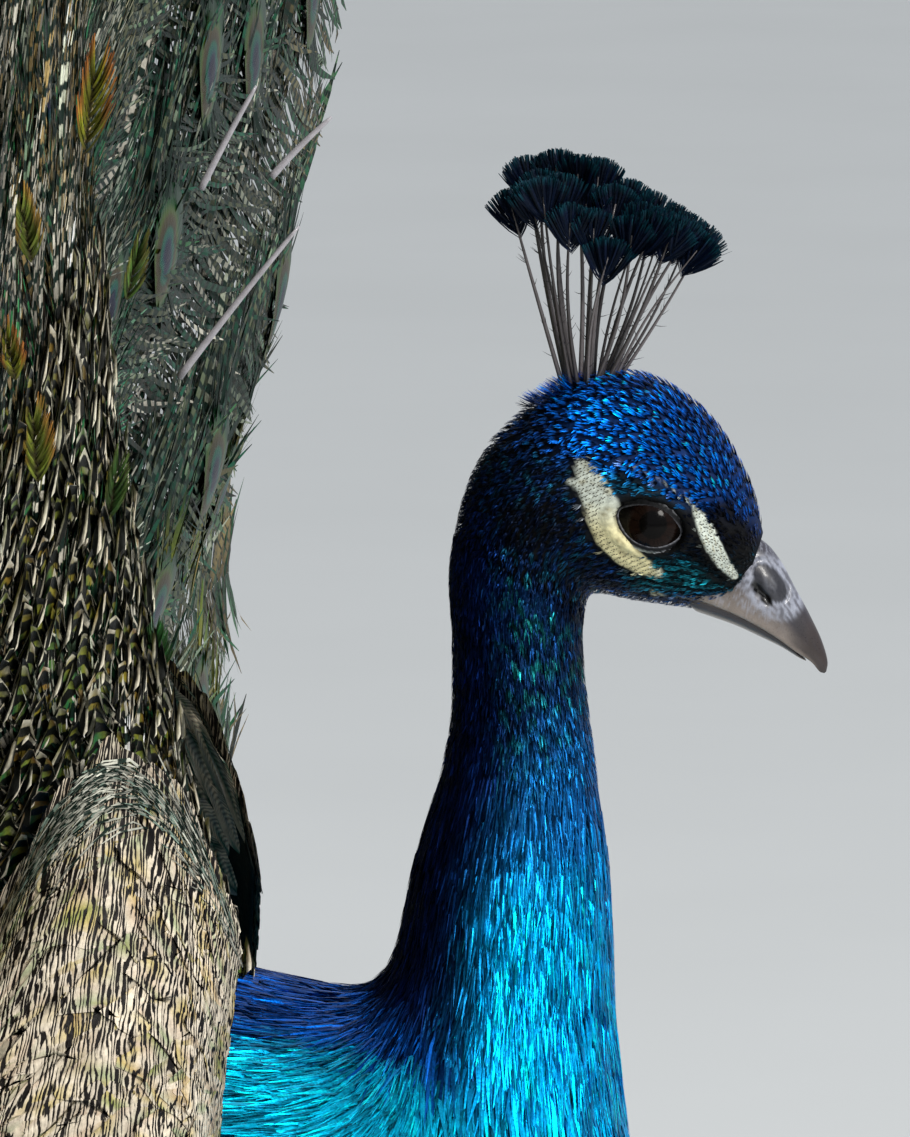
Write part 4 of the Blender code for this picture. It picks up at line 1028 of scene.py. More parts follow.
def makeTrainBarbs(name, chosen, nodes, seed):
    # barbs leave the shaft on both sides at 35 to 55 degrees, bow outwards and droop off the face a little
    rng = np.random.default_rng(seed)
    angle, tip, depth, eye = longFeathers[:, chosen, None, None]
    count, barbs, rows = len(chosen), train["barbsPerSide"], train["barbRows"]
    side = np.array((-1.0, 1.0))[None, :, None]
    at = (np.arange(barbs) + rng.random((count, 2, barbs))) / barbs
    begin = 0.16 + 60 / tip
    radius = tip * (begin + (0.985 - begin) * at)
    size = np.interp(tip, (300, 1100), (0, 1))
    length = train["barbLength"][0] + (train["barbLength"][1] - train["barbLength"][0]) * size
    length = length * (1 - 0.45 * ease(0.75, 1.0, at)) * (0.55 + 0.45 * ease(0, 0.25, at))
    length = length * rng.uniform(0.75, 1.15, at.shape)
    fish = eye == 0
    length = np.where(fish, length * (1 + 0.25 * ease(0.80, 0.95, at)), length)
    steep = np.radians(rng.normal(0, 5, at.shape) + 50 - 14 * at + np.where(fish, 6 * ease(0.8, 1, at), 0))
    t = np.linspace(0, 1, rows)
    forward = length[..., None] * (np.cos(steep)[..., None] * t + 0.16 * t ** 2)
    sideways = side[..., None] * length[..., None] * np.sin(steep)[..., None] * (t - 0.18 * t ** 2)
    radiusAt = np.minimum(radius[..., None] + forward, fanRim(angle)[..., None])
    angleAt = angle[..., None] * (0.9 + 0.1 * np.minimum(radiusAt / tip[..., None], 1)) + sideways / radiusAt
    wave = rng.normal(0, 3.0, at.shape)[..., None] * t ** 2
    wave = wave + rng.normal(0, 1.0, at.shape)[..., None] * np.sin(3 * t)
    path = fanPoint(radiusAt, angleAt, np.maximum(depth[..., None] + wave, 0.3))
    wide = train["barbWidth"][0] + (train["barbWidth"][1] - train["barbWidth"][0]) * size
    half = wide[..., None] / 2 * np.interp(t, (0, 0.2, 0.7, 1), (0.6, 1, 0.85, 0.12))
    half = half * rng.uniform(0.7, 1.2, at.shape)[..., None]
    grids = ribbons(path, fanLean(radiusAt, angleAt), half, 2, 0, rng.normal(0, 0.35, count * 2 * barbs))
    pick = rng.random(at.shape)
    # more barbs turn silver on the near side, a painted reflection, and the far side is darker, a painted shade
    farSide, nearSide = 0.9 * ease(-0.7, 1.4, angle), ease(-0.5, -0.9, angle)
    pale = (pick > 0.52 + 0.14 * farSide - 0.1 * nearSide) * ease(1.05, 0.4, at - 0.3 * nearSide)
    colour = layered(train, "green", ("bronze", pick < 0.36), ("silver", pale), ("dark", pick > 0.90),
                     ("teal", 0.8 * farSide * (pick < 0.66) * ease(1100, 500, radius)))
    colour = colour * (1 - 0.3 * farSide)[..., None] * np.exp(rng.normal(0, 0.25, at.shape))[..., None]
    # each barb is darker at the shaft, a painted shade, and brighter towards its tip, a painted highlight
    colour = colour[..., None, :] * np.interp(t, (0, 0.3, 1), (0.45, 0.9, 1.25))[:, None]
    lie = stacked(((length[..., None] * t + 0.45 * radius[..., None]) * 0.01)[..., None],
                  (radius * 0.01)[..., None, None] + half[..., None] * (-0.01, 0.01))
    makeStrips(name, grids, colour, lie, fanUnwrap(radius, angle + side * 0.02), (0.0015, 0.003),
               featherMaterial, nodes)


def makeEyeMaterial():
    # rings of colour about a point below the middle: dark heart, turquoise, copper, gold and green, barb streaks
    nodes = Nodes("feather eyes", 0.25, 0.1)
    lie, across, along = nodes.lie()
    across = nodes.math("SUBTRACT", across, 0.5)
    along = nodes.math("SUBTRACT", along, 0.40)
    angle = nodes.math("ARCTAN2", across, nodes.plus(along, 0.25))
    streaks = nodes.add("ShaderNodeTexNoise", {"noise_dimensions": "1D"}, W=nodes.times(angle, 26.0), Scale=1.0,
                        Detail=2.0).outputs["Fac"]
    far = nodes.math("SQRT", nodes.plus(nodes.times(across, across), nodes.times(along, along)))
    notch = nodes.span(nodes.math("ABSOLUTE", across), 0.0, 0.07, 0.045, 0.0)
    far = nodes.plus(nodes.plus(far, notch), nodes.times(nodes.math("SUBTRACT", streaks, 0.5), 0.05))
    ramp = nodes.add("ShaderNodeValToRGB", n0=far)
    stops = ((0.0, 30, 20, 52), (0.12, 30, 26, 84), (0.155, 14, 96, 112), (0.21, 18, 116, 104),
             (0.24, 84, 54, 30), (0.31, 108, 74, 38), (0.35, 112, 112, 40), (0.41, 40, 96, 44),
             (0.48, 20, 68, 44))
    for number, (spot, *colour) in enumerate(stops):
        stop = ramp.color_ramp.elements[number] if number < 2 else ramp.color_ramp.elements.new(spot)
        stop.position = spot
        stop.color = linear(paint(*colour))
    lit = nodes.toned(ramp.outputs[0], nodes.span(streaks, 0.25, 0.75, 0.55, 1.3))
    return nodes.finish(nodes.mix(1.0, lit, nodes.tint(), "MULTIPLY"), nodes.span(streaks, 0.3, 0.7, 0.30, 0.45),
                        streaks, 0.5, 0.0004)


def makeTrainEyes():
    # an oval plate at each tip, a little dished, its corners drawn in so that a square grid becomes an oval
    chosen = np.flatnonzero(eyeSize > 0)
    angle, tip, depth, size = longFeathers[:, chosen, None, None]
    count, tall, wide, cells = len(chosen), 11, 9, 12
    u, v = np.meshgrid(np.linspace(-1, 1, wide), np.linspace(-1, 1, tall))
    across, along = u * np.sqrt(1 - v ** 2 / 2), v * np.sqrt(1 - u ** 2 / 2)
    along = along * (1 + 0.12 * (1 - across ** 2) * np.sign(along))
    radius = tip - 26 * size + along * 27 * size
    back = np.maximum(depth - 2.0, 0.2) - 2.4 * size * (1 - across ** 2 - 0.5 * along ** 2) + 1.5
    grids = fanPoint(radius, angle + across * 22 * size / radius, np.maximum(back, 0.1))
    lie = np.broadcast_to(stacked(0.5 + 0.5 * across, 0.5 + 0.5 * along), (count, tall, wide, 2))
    spots = (stacked(np.arange(count) % cells, np.arange(count) // cells) + 0.5) / cells
    # the eyes on the far side are darkened and greened, a painted shade
    colour = toward(1.0, train["farEyeShade"], 0.85 * ease(0.2, 1.3, angle) * np.ones_like(across))
    makeStrips("trainEyes", grids, colour, lie, spots, (0.07, 0.07), makeEyeMaterial())
    # barbs that spread from each plate all round, longest towards the tip
    rng = np.random.default_rng(59)
    barbs = 46
    turn = (np.linspace(-2.7, 2.7, barbs) + rng.normal(0, 0.05, (count, barbs)))[..., None]
    t = np.linspace(0, 1, 4)
    sideways = size * (10 + (30 + 10 * np.cos(turn)) * t) * np.sin(turn)
    forward = size * (8 + (33 + 4 * np.cos(turn)) * t) * np.cos(turn) + size * 9 * t ** 2
    radius = np.minimum(tip - 28 * size + forward, fanRim(angle))
    angleAt = angle + sideways / radius
    backAt = np.maximum(depth - 0.6 + rng.normal(0, 1.2, (count, barbs, 1)) * t, 0.15)
    half = size * 1.15 * np.interp(t, (0, 0.6, 1), (1.0, 0.8, 0.12))
    grids = ribbons(fanPoint(radius, angleAt, backAt), fanLean(radius, angleAt), half, 2, 0,
                    rng.normal(0, 0.3, count * barbs))
    colour = layered(train, "fringe", ("fringeGold", rng.random((count, barbs, 1))), ("green", t * 0.7))
    spots = np.repeat(fanUnwrap(tip, angle), barbs, axis=1)
    makeStrips("trainEyeFringes", grids, colour, None, spots, (0.002, 0.003), featherMaterial)


def makeStrayQuills():  # a few bare quills that slant across the far side, each with a slight bow
    starts, ends = np.array(train["quills"], float).swapaxes(0, 1)
    t = np.linspace(0, 1, 16)[:, None]
    path = starts[:, None] + (ends - starts)[:, None] * t + np.array((0, 0, 0.5)) * np.sin(math.pi * t)
    radii = np.broadcast_to(np.interp(t[:, 0], (0, 0.9, 1), (0.95, 0.6, 0.3)), path.shape[:2])
    spots = stacked(np.linspace(0.2, 0.8, len(starts)), 0.97)
    makeTubes("strayQuills", tubeRings(path, radii, 8), train["quillColour"], shaftMaterial, (), spots,
              (0.01, 0.02))


turnedEyes = {
    "seed": 57, "barbs": 72, "rows": 5,
    "places": (  # x, side, z, half width, half height, tilt in degrees, share of orange
        (-83, -50, 733, 6.5, 19, -8, 0.9), (-94, -98, 711, 5.0, 13, 10, 0.5), (-97, -108, 684, 4.5, 10, 12, 0.9),
        (-93, -90, 660, 6.0, 14, 4, 0.6), (-79.5, -28, 641, 4.0, 12, -10, 0.1), (-72, 6, 597, 5.5, 10, 6, 0.0),
        (-74, -40, 694, 3.5, 12, -14, 0.2)),
    "heart": paint(58, 44, 34), "yellow": paint(132, 134, 30), "green": paint(26, 96, 52),
    "orange": paint(164, 92, 48),
}
turnedMaterial = tintMaterial("turned eye feathers", 0.3, 0.45, 1500, 0.25, 0.0001, 0.0, 0.2)


def makeTurnedEyes():
    # eye feathers twisted side on: barbs leave a short shaft on both sides, longer in front,
    # and bow towards the tip
    rng = np.random.default_rng(turnedEyes["seed"])
    x0, y0, z0, wide, high, tilt, orange = np.array(turnedEyes["places"], float).T[..., None, None]
    count, barbs, t = len(x0), turnedEyes["barbs"], np.linspace(0, 1, turnedEyes["rows"])
    side = np.where(np.arange(barbs) % 2, 1.0, -0.55)[None, :, None]
    foot = rng.random((count, barbs))[..., None]
    reach = (1.0 - 0.55 * foot ** 2) * rng.uniform(0.8, 1.1, (count, barbs, 1))
    across = wide * side * reach * (t - 0.15 * t ** 2)
    up = high * (foot - 0.5) + high * 0.55 * (0.6 * t + 0.4 * t ** 2)
    lean = np.radians(tilt)
    path = stacked(x0 + across * np.cos(lean) - up * np.sin(lean),
                   y0 - 3 * t + rng.normal(0, 0.8, (count, barbs, 1)),
                   z0 + up * np.cos(lean) + across * np.sin(lean))
    half = 0.30 * np.interp(t, (0, 0.7, 1), (1.0, 0.8, 0.2))
    normal = unit(np.array((0.4, -1.0, 0.1)) + rng.normal(0, 0.35, path.shape))
    web = layered(turnedEyes, "yellow", ("green", (1 - orange) * 0.9))
    share = ease(-0.1, 0.35, t) * (0.5 + 0.5 * rng.random((count, barbs, 1)))
    colour = layered(turnedEyes, toward(turnedEyes["heart"], web, share),
                     ("orange", orange * ease(0.55, 0.9, t)))
    colour = colour * np.exp(rng.normal(-0.1, 0.45, (count, barbs, 1, 1)))
    spots = np.repeat(stacked(0.04 + 0.02 * np.arange(count), 0.93), barbs, axis=0)
    lie = np.zeros((count * barbs, len(t), 2, 2))
    lie[..., 0] = t[:, None] * 0.1 + rng.random((len(lie), 1, 1))
    makeStrips("turnedEyes", ribbons(path, normal, half, 2), colour, lie, spots, (0.002, 0.003), turnedMaterial)


makeTurnedEyes()
makeTrainShafts()
makeStrayQuills()
sectors = [f"train_{number:02d}" for number in range(1, 10)]
for number, chosen in enumerate(np.array_split(np.arange(len(featherAngle)), 3)):
    makeTrainBarbs(f"trainBarbs{number + 1}", chosen, sectors[number * 3:number * 3 + 3], 52 + number)
makeTrainEyes()

# What every laid feather shares, unless its own look says otherwise
vane = {"q": (-1.64, 1.64), "keep": None, "size": None, "rows": 6, "columns": 5, "lieOnGround": False}

scales = dict(
    vane, seed=61, count=2700, p=(-236.0, -47.0), size=lambda where, p, q: np.interp(-p, (50, 228), (0.6, 1.15)),
    length=21.0, width=9.0, round=0.45, ragged=0.045, sway=0.12, base=-1.5, lift=4.5, cup=1.0, loose=0.8,
    gold=paint(150, 146, 44), green=paint(20, 112, 66), copper=paint(150, 96, 40), black=paint(16, 18, 14),
    edge=paint(214, 208, 190), backing=paint(44, 38, 32))


def paintScales(rng, grids, p, q, t, u):  # green, gold and copper rings, a black line and a pale rim
    each = (len(p), 1, 1)
    near = np.hypot(np.abs(u), np.abs(t - 0.45) * 1.55) + rng.normal(0, 0.05, each)
    gold = ease(0.15, 0.45, near) * rng.uniform(0.3, 1, each)
    copper = 0.8 * ease(0.45, 0.6, near) * rng.uniform(0, 1, each)
    rim = ease(0.82, 0.95, near + rng.normal(0, 0.05, (len(p), 1, len(u)))) * ease(0.45, 0.65, t)
    rim = rim * (0.85 * ease(2.4, -0.2, q))[:, None, None]
    colour = layered(scales, "green", ("gold", gold), ("copper", copper),
                     ("black", 0.6 * ease(0.58, 0.70, near)), ("edge", rim))
    # darker at the root, a painted shade where the next scale lies over it, and brighter towards the tip, a
    # painted highlight
    return colour * np.interp(t, (0, 0.4, 1), (0.25, 0.9, 1.35))[..., None]


def barbColour(where, p, q):  # silver, green and bronze in drifts, greener on the far side
    near = ripple(where, 60, 65)
    return layered(train, "silver", ("green", ease(0.1, 0.5, near)),
                   ("bronze", ease(0.2, 0.6, ripple(where, 45, 66))), ("teal", 0.6 * ease(-0.6, 1.4, q)))


fanGround = {"point": lambda p, q, grow=0.0: fanPoint(-p, q, -grow), "step": (2.0, 0.01), "sign": -1,
             "span": (-480.0, -44.0), "unwrap": lambda p, q: fanUnwrap(-p * 2.4, q), "depth": lambda p: 0 * p,
             "colour": barbColour}
vaneMaterial = barredMaterial("scale feathers", 0.2, 5.0, 5.0, -0.15, scales["black"])
layVanes("backScales", dict(scales, paint=paintScales), fanGround, vaneMaterial)
scaleBarbs = dict(tuft, seed=64, count=800, p=(-400.0, -110.0), q=(-1.64, 1.64), barbs=8, rows=4, length=36.0,
                  width=7.0, barbWidth=0.8, close=0.1, sway=0.2, fray=0.12, lift=0.08, roll=0.4, contrast=0.4,
                  rootShadeTipShine=(0.3, 0.7, 1.0, 1.2))
layTufts("scaleBarbs", scaleBarbs, fanGround, featherMaterial)


def makeLeaf(name, front, rear, tint, material, flat, nodes):
    # two grids back to back, joined round their rim into one closed leaf
    rows, columns = front.shape[:2]
    count = rows * columns
    rim = np.concatenate((np.arange(columns), columns - 1 + columns * np.arange(1, rows),
                          count - columns + np.arange(columns - 2, -1, -1),
                          columns * np.arange(rows - 2, 0, -1)))
    after = np.roll(rim, -1)
    sheet = gridFaces(rows, columns)
    points = np.concatenate((front.reshape(-1, 3), rear.reshape(-1, 3)))
    faces = [sheet, sheet[:, ::-1] + count, stacked(after, rim, rim + count, after + count)]
    tint = tint * (1 + 0.3 * ripple(points, 22, 5)[:, None])
    bake = np.concatenate((flat * (1, 0.48), flat * (1, 0.48) + (0, 0.5)))
    makePiece(name, points, outward(points - points.mean(axis=0), faces), material, tint, None, bake,
              nodes)


def rearDepth(radius, angle):  # the wedge behind the fan's root thins outwards and to the sides
    share = np.clip((radius - 75) / (fan["rootEnd"] - 75), 0, 1)
    return 2.6 + 56 * (1 - share) ** 1.5 * np.cos(angle) ** 2


r, a = np.meshgrid(np.linspace(46, fan["rootEnd"] - 2, 36), np.radians(np.linspace(-95, 95, 90)), indexing="ij")
makeLeaf("fanBacking", fanPoint(r, a, 2.2), fanPoint(r, a, rearDepth(r, a) + 1.5), scales["backing"],
         skinMaterial, fanUnwrap(r * 3.5, a).reshape(-1, 2), ("back_scales",))

rearCovers = dict(vane, seed=63, count=900, p=(-290.0, -60.0), q=(-1.62, 1.62), length=44.0, width=11.0,
                  round=0.35, ragged=0.04, sway=0.10, base=1.5, lift=4.0, cup=1.5, loose=1.0,
                  dark=paint(64, 54, 46), pale=paint(150, 134, 114))


def paintRear(rng, grids, p, q, t, u):  # grey-brown, paler at the tips
    tone = np.exp(rng.normal(0, 0.25, (len(p), 1, 1))) * np.ones_like(u * t)
    return toward(rearCovers["dark"] * tone[..., None], rearCovers["pale"], ease(0.3, 1.0, t) * 0.8)


rearGround = dict(fanGround, sign=1, point=lambda p, q, grow=0.0: fanPoint(-p, q, rearDepth(-p, q) + grow))
tailMaterial = stripedMaterial("brown feathers", 0.05, 0.6, 0.9, 0.6, 0.3)
layVanes("fanRearCovers", dict(rearCovers, paint=paintRear), rearGround, tailMaterial)


# The tail that props the fan from behind

tail = {
    "seed": 71, "feathers": 18, "halfAngle": 78.0, "root": (-254.0, 458.0), "length": 416.0, "width": 23.0,
    "rows": 16, "columns": 9, "start": 24, "dish": (84, 36), "layer": 2.2,
    "brown": paint(122, 104, 86), "bar": paint(72, 58, 46), "edge": paint(168, 152, 130),
    "shaft": paint(196, 182, 158),
}


def roundedTip(t, start, span):  # full width up to start, then a quarter circle to the tip
    return np.sqrt(np.clip(1.01 - np.clip((t - start) / span, 0, 1) ** 2, 0.01, 1))


def makeTail():
    # each feather runs straight out, the whole fan dished forward, neighbours lying over each other
    rng = np.random.default_rng(tail["seed"])
    angle = np.radians(np.linspace(-tail["halfAngle"], tail["halfAngle"], tail["feathers"]))[:, None]
    t = np.linspace(0, 1, tail["rows"])
    reach = tail["start"] + (tail["length"] - tail["start"]) * t * (1 - 0.05 * np.abs(np.sin(angle)))
    dish = (tail["dish"][0] * np.cos(angle) ** 2 + tail["dish"][1] * np.sin(angle) ** 2) * (reach / 420) ** 0.8
    layer = tail["layer"] * (np.arange(tail["feathers"]) % 2)[:, None]
    path = stacked(tail["root"][0] + dish - 4 - layer, reach * np.sin(angle),
                   tail["root"][1] + reach * np.cos(angle))
    half = tail["width"] * (0.25 + 0.75 * ease(0, 0.4, t)) * roundedTip(t, 0.86, 0.14)
    grids = ribbons(path, (1.0, 0.0, 0.0), half, tail["columns"], 0.12, rng.normal(0, 0.05, len(path)))
    u = np.linspace(-1, 1, tail["columns"])
    bars = ease(0.2, 0.8, np.sin(reach[..., None] * 0.42 + 1.5 * np.abs(u) + angle[..., None] * 9))
    colour = layered(tail, "brown", ("bar", 0.7 * bars), ("edge", ease(0.95, 1.0, t)[:, None] * 0.8))
    lie = stacked(reach[..., None], half[:, None] * u) * 0.01
    spots = stacked(0.5 + 0.4 * np.sin(angle[:, 0]), 0.3 + 0.4 * np.cos(angle[:, 0]))
    makeStrips("tailFeathers", grids, colour, lie, spots, (0.03, 0.03), tailMaterial, ("tail_fan",))
    radii = np.broadcast_to(np.interp(t, (0, 1), (1.9, 0.5)), reach.shape)
    makeTubes("tailShafts", tubeRings(path - (1.0, 0, 0), radii, 6), tail["shaft"], shaftMaterial, (),
              spots, (0.01, 0.05))


makeTail()


# Wings

wing = {
    "stations": (  # from the shoulder to the tip: upper edge x z, lower edge x z, distance out
        (-48, 532, -55, 468, 67), (-57, 560, -63, 430, 86), (-71, 583, -86, 400, 102),
        (-87, 577, -125, 374, 110), (-117, 530, -176, 350, 113), (-196, 464, -232, 330, 111),
        (-262, 408, -290, 316, 104), (-318, 362, -330, 318, 96), (-350, 334, -350, 326, 91)),
    # flight feathers: count, half width, then x z of the roots and of the tips of the first and the last
    "primaries": 9, "primaryHalf": 12.5,
    "roots": ((-130, 363.0), (-282, 309.0)), "tips": ((-212, 206.0), (-392, 290.0)),
    "skin": paint(22, 32, 30), "cream": paint(236, 222, 200), "gold": paint(196, 170, 40),
    "green": paint(86, 140, 50), "rust": paint(188, 150, 116), "lining": paint(20, 92, 78),
    "grey": paint(190, 190, 186), "silver": paint(168, 168, 156), "bar": paint(20, 15, 13),
    "chestnut": paint(134, 90, 62), "chestnutDark": paint(80, 54, 40),
}
wingRows = np.array(wing["stations"], float)


def wingPoint(share, across, grow=0.0):
    # between the upper edge (across -1) and the lower edge (1); the upper edge leans in over the back
    row = curveThrough(wingRows, share * (len(wingRows) - 1))
    blend = ((across + 1) / 2)[..., None]
    flat = row[..., 0:2] * (1 - blend) + row[..., 2:4] * blend
    flat[..., 0] -= 400 * np.minimum(share, 0)  # runs on a little in front of the shoulder
    lean = (20 + 14 * np.sin(math.pi * np.clip(share, 0,
                                               1) ** 0.8)) * np.clip(-across, 0, 1) ** 2 + 3 * across ** 2
    return stacked(flat[..., 0], row[..., 4] - lean + grow, flat[..., 1])


def wingThick(share, across):  # how far the inner face lies behind the outer one
    return 3.0 + 13 * (1 - np.clip(across, -1, 1) ** 2) * (1 - share) ** 0.6 * ease(0.0, 0.2, share)


def paintWing(rng, grids, p, q, t, u):  # cream, gold and green glints towards the front and upper edge
    front = ease(0.45, 0.85, p)[:, None, None]
    # each vane is darker at its root, a painted shade where the vane above lies over it, and a little darker at
    # its sides
    tone = np.exp(rng.normal(0, 0.10, (len(p), 1, 1))) * np.interp(t, (0, 0.5, 1), (0.6, 0.95, 1.0))
    colour = layered(wing, "cream", ("gold", 0.7 * ease(0.35, 0.6, ripple(grids, 9, 72)) * front),
                     ("green", 0.6 * ease(0.4, 0.65, ripple(grids, 8, 73)) * (0.25 + 0.75 * front)),
                     ("rust", 0.5 * ease(0.35, 0.7, ripple(grids, 10, 74))))
    return colour * (tone * (1 - 0.05 * np.abs(u)))[..., None]


def paintLining(rng, grids, p, q, t, u):  # dark green with grey, barred black and white along the front edge
    streak = np.exp(rng.normal(0, 0.5, (len(p), 1, len(u))))
    grey = 0.8 * (rng.random((len(p), 1, len(u))) > 0.62)
    bars = ease(-0.2, 0.3, np.sin(grids[..., 2] * 1.1 + 2 * ripple(grids, 12, 75)))
    colour = wing["lining"] * streak[..., None] * np.ones_like(grids)
    return layered(wing, colour, ("grey", grey), ("cream", ease(0.76, 0.86, p)[:, None, None] * bars))


def edgeColour(where, p, q):
    return layered(wing, "silver", ("lining", 0.6 * (ripple(where, 5, 76) > 0.3)))


wingFeathers = dict(vane, seed=81, count=860, p=(0.03, 0.992), q=(-0.99, 0.99), columns=7,
                    size=lambda where, p, q: np.interp(p, (0, 0.7, 1), (1.25, 1.0, 0.6)), length=44.0,
                    width=10.5, round=0.30, ragged=0.05, sway=0.08, base=-1.4, lift=1.2, cup=0.4, loose=0.2,
                    lieOnGround=(380.0, 95.0), paint=paintWing)
liningFeathers = dict(wingFeathers, seed=82, count=820, q=(-0.96, 0.95), p=(0.03, 0.93), paint=paintLining,
                      lieOnGround=False, base=0.3, length=34.0, width=7.0, columns=5)
frontFeathers = dict(wingFeathers, seed=84, count=90, p=(0.972, 0.992), length=20.0, width=6.0, size=None,
                     sway=0.2)
edgeBarbs = dict(tuft, seed=83, count=60, p=(0.62, 1.0), q=(-1.0, -0.90), barbs=5, rows=4, length=26.0,
                 width=2.6, barbWidth=0.5, close=0.1, sway=0.10, fray=0.10, lift=0.05, contrast=0.3,
                 rootShadeTipShine=(0.6, 1.0, 1.0, 1.0))
wingMaterial = barredMaterial("barred feathers", 0.0, 2.67, 36.0, 0.02, wing["bar"])
liningMaterial = stripedMaterial("wing lining", 0.25, 0.45, 0.9, 0.6, 0.5)
primaryMaterial = stripedMaterial("chestnut feathers", 0.0, 0.5, 1.0, 0.6, 0.3)


def makeWing(label, side):
    # a closed leaf of skin with vanes on its outer face, on its front edge and inside
    mirror = np.array((1.0, side, 1.0))
    share, across = np.meshgrid(np.linspace(0.035, 0.96, 40), np.linspace(-0.94, 0.96, 30), indexing="ij")
    flat = stacked(0.05 + 0.9 * share, 0.5 + 0.45 * across).reshape(-1, 2)
    inner = wingPoint(share, across, -2.6 - wingThick(share, across))
    makeLeaf("wingSkin_" + label, wingPoint(share, across, -2.6) * mirror, inner * mirror, wing["skin"],
             skinMaterial, flat, ("wing_" + label,))
    ground = {"point": lambda p, q, grow=0.0: wingPoint(1 - p, q, grow) * mirror, "step": (0.01, 0.02),
              "sign": side, "span": (0.012, 1.03),
              "unwrap": lambda p, q: stacked(0.95 - 0.9 * p, (0.5 + 0.45 * q) * 0.48), "colour": edgeColour,
              "depth": lambda p: 2.0 + 0 * p}
    inside = dict(ground, sign=-side)
    inside["point"] = lambda p, q, grow=0.0: wingPoint(1 - p, q, -2.8 - wingThick(1 - p, q) - grow) * mirror
    layVanes("wingFeathers_" + label, wingFeathers, ground, wingMaterial)
    layVanes("wingFront_" + label, frontFeathers, ground, wingMaterial)
    layTufts("wingEdgeBarbs_" + label, edgeBarbs, ground, featherMaterial)
    layVanes("wingLining_" + label, liningFeathers, inside, liningMaterial)


def makePrimaries(label, side):
    # flight feathers side by side from straight rows of roots to straight rows of tips, drooping below the wing
    mirror = np.array((1.0, side, 1.0))
    count, rows, columns = wing["primaries"], 20, 9
    number = np.arange(count)[:, None]
    order = np.linspace(0, 1, count)[:, None]
    t = np.linspace(0, 1, rows)
    starts, ends = (first + (last - first) * order for first, last in np.array((wing["roots"], wing["tips"])))
    flat = (starts[:, None] + (ends - starts)[:, None] * t[:, None]
            - (18 * np.sin(math.pi * order) * t)[..., None])
    path = stacked(flat[..., 0], 105 + 13 * t ** 1.5 - 1.1 * number % 3, flat[..., 1]) * mirror
    half = wing["primaryHalf"] * (0.45 + 0.55 * ease(0, 0.3, t)) * roundedTip(t, 0.82, 0.18)
    normal = np.array((0.0, side, 0.0))
    u = np.linspace(-1, 1, columns)
    share = 0.75 * ease(0.45, 0.95, t)[:, None] + 0.25 * np.abs(u)
    colour = layered(wing, wing["chestnut"] * np.ones((count, 1, 1, 1)), ("chestnutDark", share))
    lie = stacked(t[:, None] * 150 + 7 * number[..., None], half[:, None] * u) * 0.01
    spots = stacked(0.1 + 0.8 * order[:, 0], 0.5)
    makeStrips("primaryFeathers_" + label, ribbons(path, normal, half, columns, 0.10), colour, lie, spots,
               (0.06, 0.3), primaryMaterial, ("primaries_" + label,))
    radii = np.broadcast_to(np.interp(t, (0, 1), (1.3, 0.4)), (count, rows))
    makeTubes("primaryShafts_" + label, tubeRings(path + normal * 0.4, radii, 6), wing["chestnutDark"],
              shaftMaterial, (), spots, (0.01, 0.1))


# Thighs, shanks and feet

leg = {
    "hip": (-92.0, 52.0, 318.0), "ankle": (-127.0, 46.0, 158.0), "foot": (-110.0, 46.0, 19.0),
    "thigh": ((0, 43.0), (0.25, 42.0), (0.5, 33.0), (0.72, 20.0), (0.9, 12.0), (1.0, 10.4)),  # share, radius
    "shank": ((-0.03, 6.0), (0.02, 8.4), (0.12, 7.2), (0.32, 5.6), (0.6, 5.2), (0.85, 6.0), (1.0, 6.8)),
    "toes": ((3, 66, 5.6), (-30, 47, 5.0), (33, 50, 5.0), (172, 24, 4.2)),  # angle, length, radius at the root
    "hub": ((0, 0, 2.0, 6.2), (0, 0, -2, 7.2), (1, 0, -7, 8.0), (3, 0, -12, 7.6), (4, 0, -15, 6.0)),  # x y z r
    "toeNames": ("middle", "inner", "outer", "hind"), "toeHeight": 4.6, "clawLength": 13.0,
    "spurAt": 0.62, "spurLength": 26.5, "bareBelow": (251, 222),
    "buff": paint(170, 146, 116), "dark": paint(58, 48, 40), "scute": paint(132, 120, 106),
    "groove": paint(70, 60, 52), "claw": paint(58, 50, 46), "spur": paint(112, 98, 84),
}


def thighGround(side):
    # a limb of round sections about the line from hip (p 1) to ankle (p 0)
    hip, ankle = (np.array(leg[part]) * (1, side, 1) for part in ("hip", "ankle"))
    first = unit(np.cross(unit(ankle - hip), (0, 1.0, 0)))
    second = np.cross(unit(ankle - hip), first)

    def point(p, q, grow=0.0):
        radius = np.interp(1 - p, *np.transpose(leg["thigh"])) + grow - 26 * ease(0.86, 1.0, p)
        around = first * np.cos(q)[..., None] + second * np.sin(q)[..., None]
        return hip + (ankle - hip) * (1 - p)[..., None] + around * np.asarray(radius)[..., None]

    return {"point": point, "depth": lambda p: np.interp(p, (0, 0.2, 1), (1.2, 4.0, 7.0)), "step": (0.01, 0.02),
            "colour": lambda where, p, q: layered(leg, "buff", ("dark", ease(0.62, 0.95, p))), "sign": -1,
            "span": (-0.03, 1.0),
            "unwrap": lambda p, q: stacked(0.02 + 0.96 * (q % fullTurn) / fullTurn,
                                           0.93 + 0.03 * p + 0.035 * (side > 0))}


thighTufts = dict(tuft, seed=91, count=900, p=(0.02, 0.98), barbs=7, length=25.0, width=4.2, barbWidth=1.1,
                  sway=0.15, size=lambda where, p, q: np.interp(p, (0, 0.4, 1), (0.6, 1.0, 1.1)), fray=0.08,
                  lift=0.02, contrast=0.25, rootShadeTipShine=(0.3, 0.7, 1.1, 1.2))


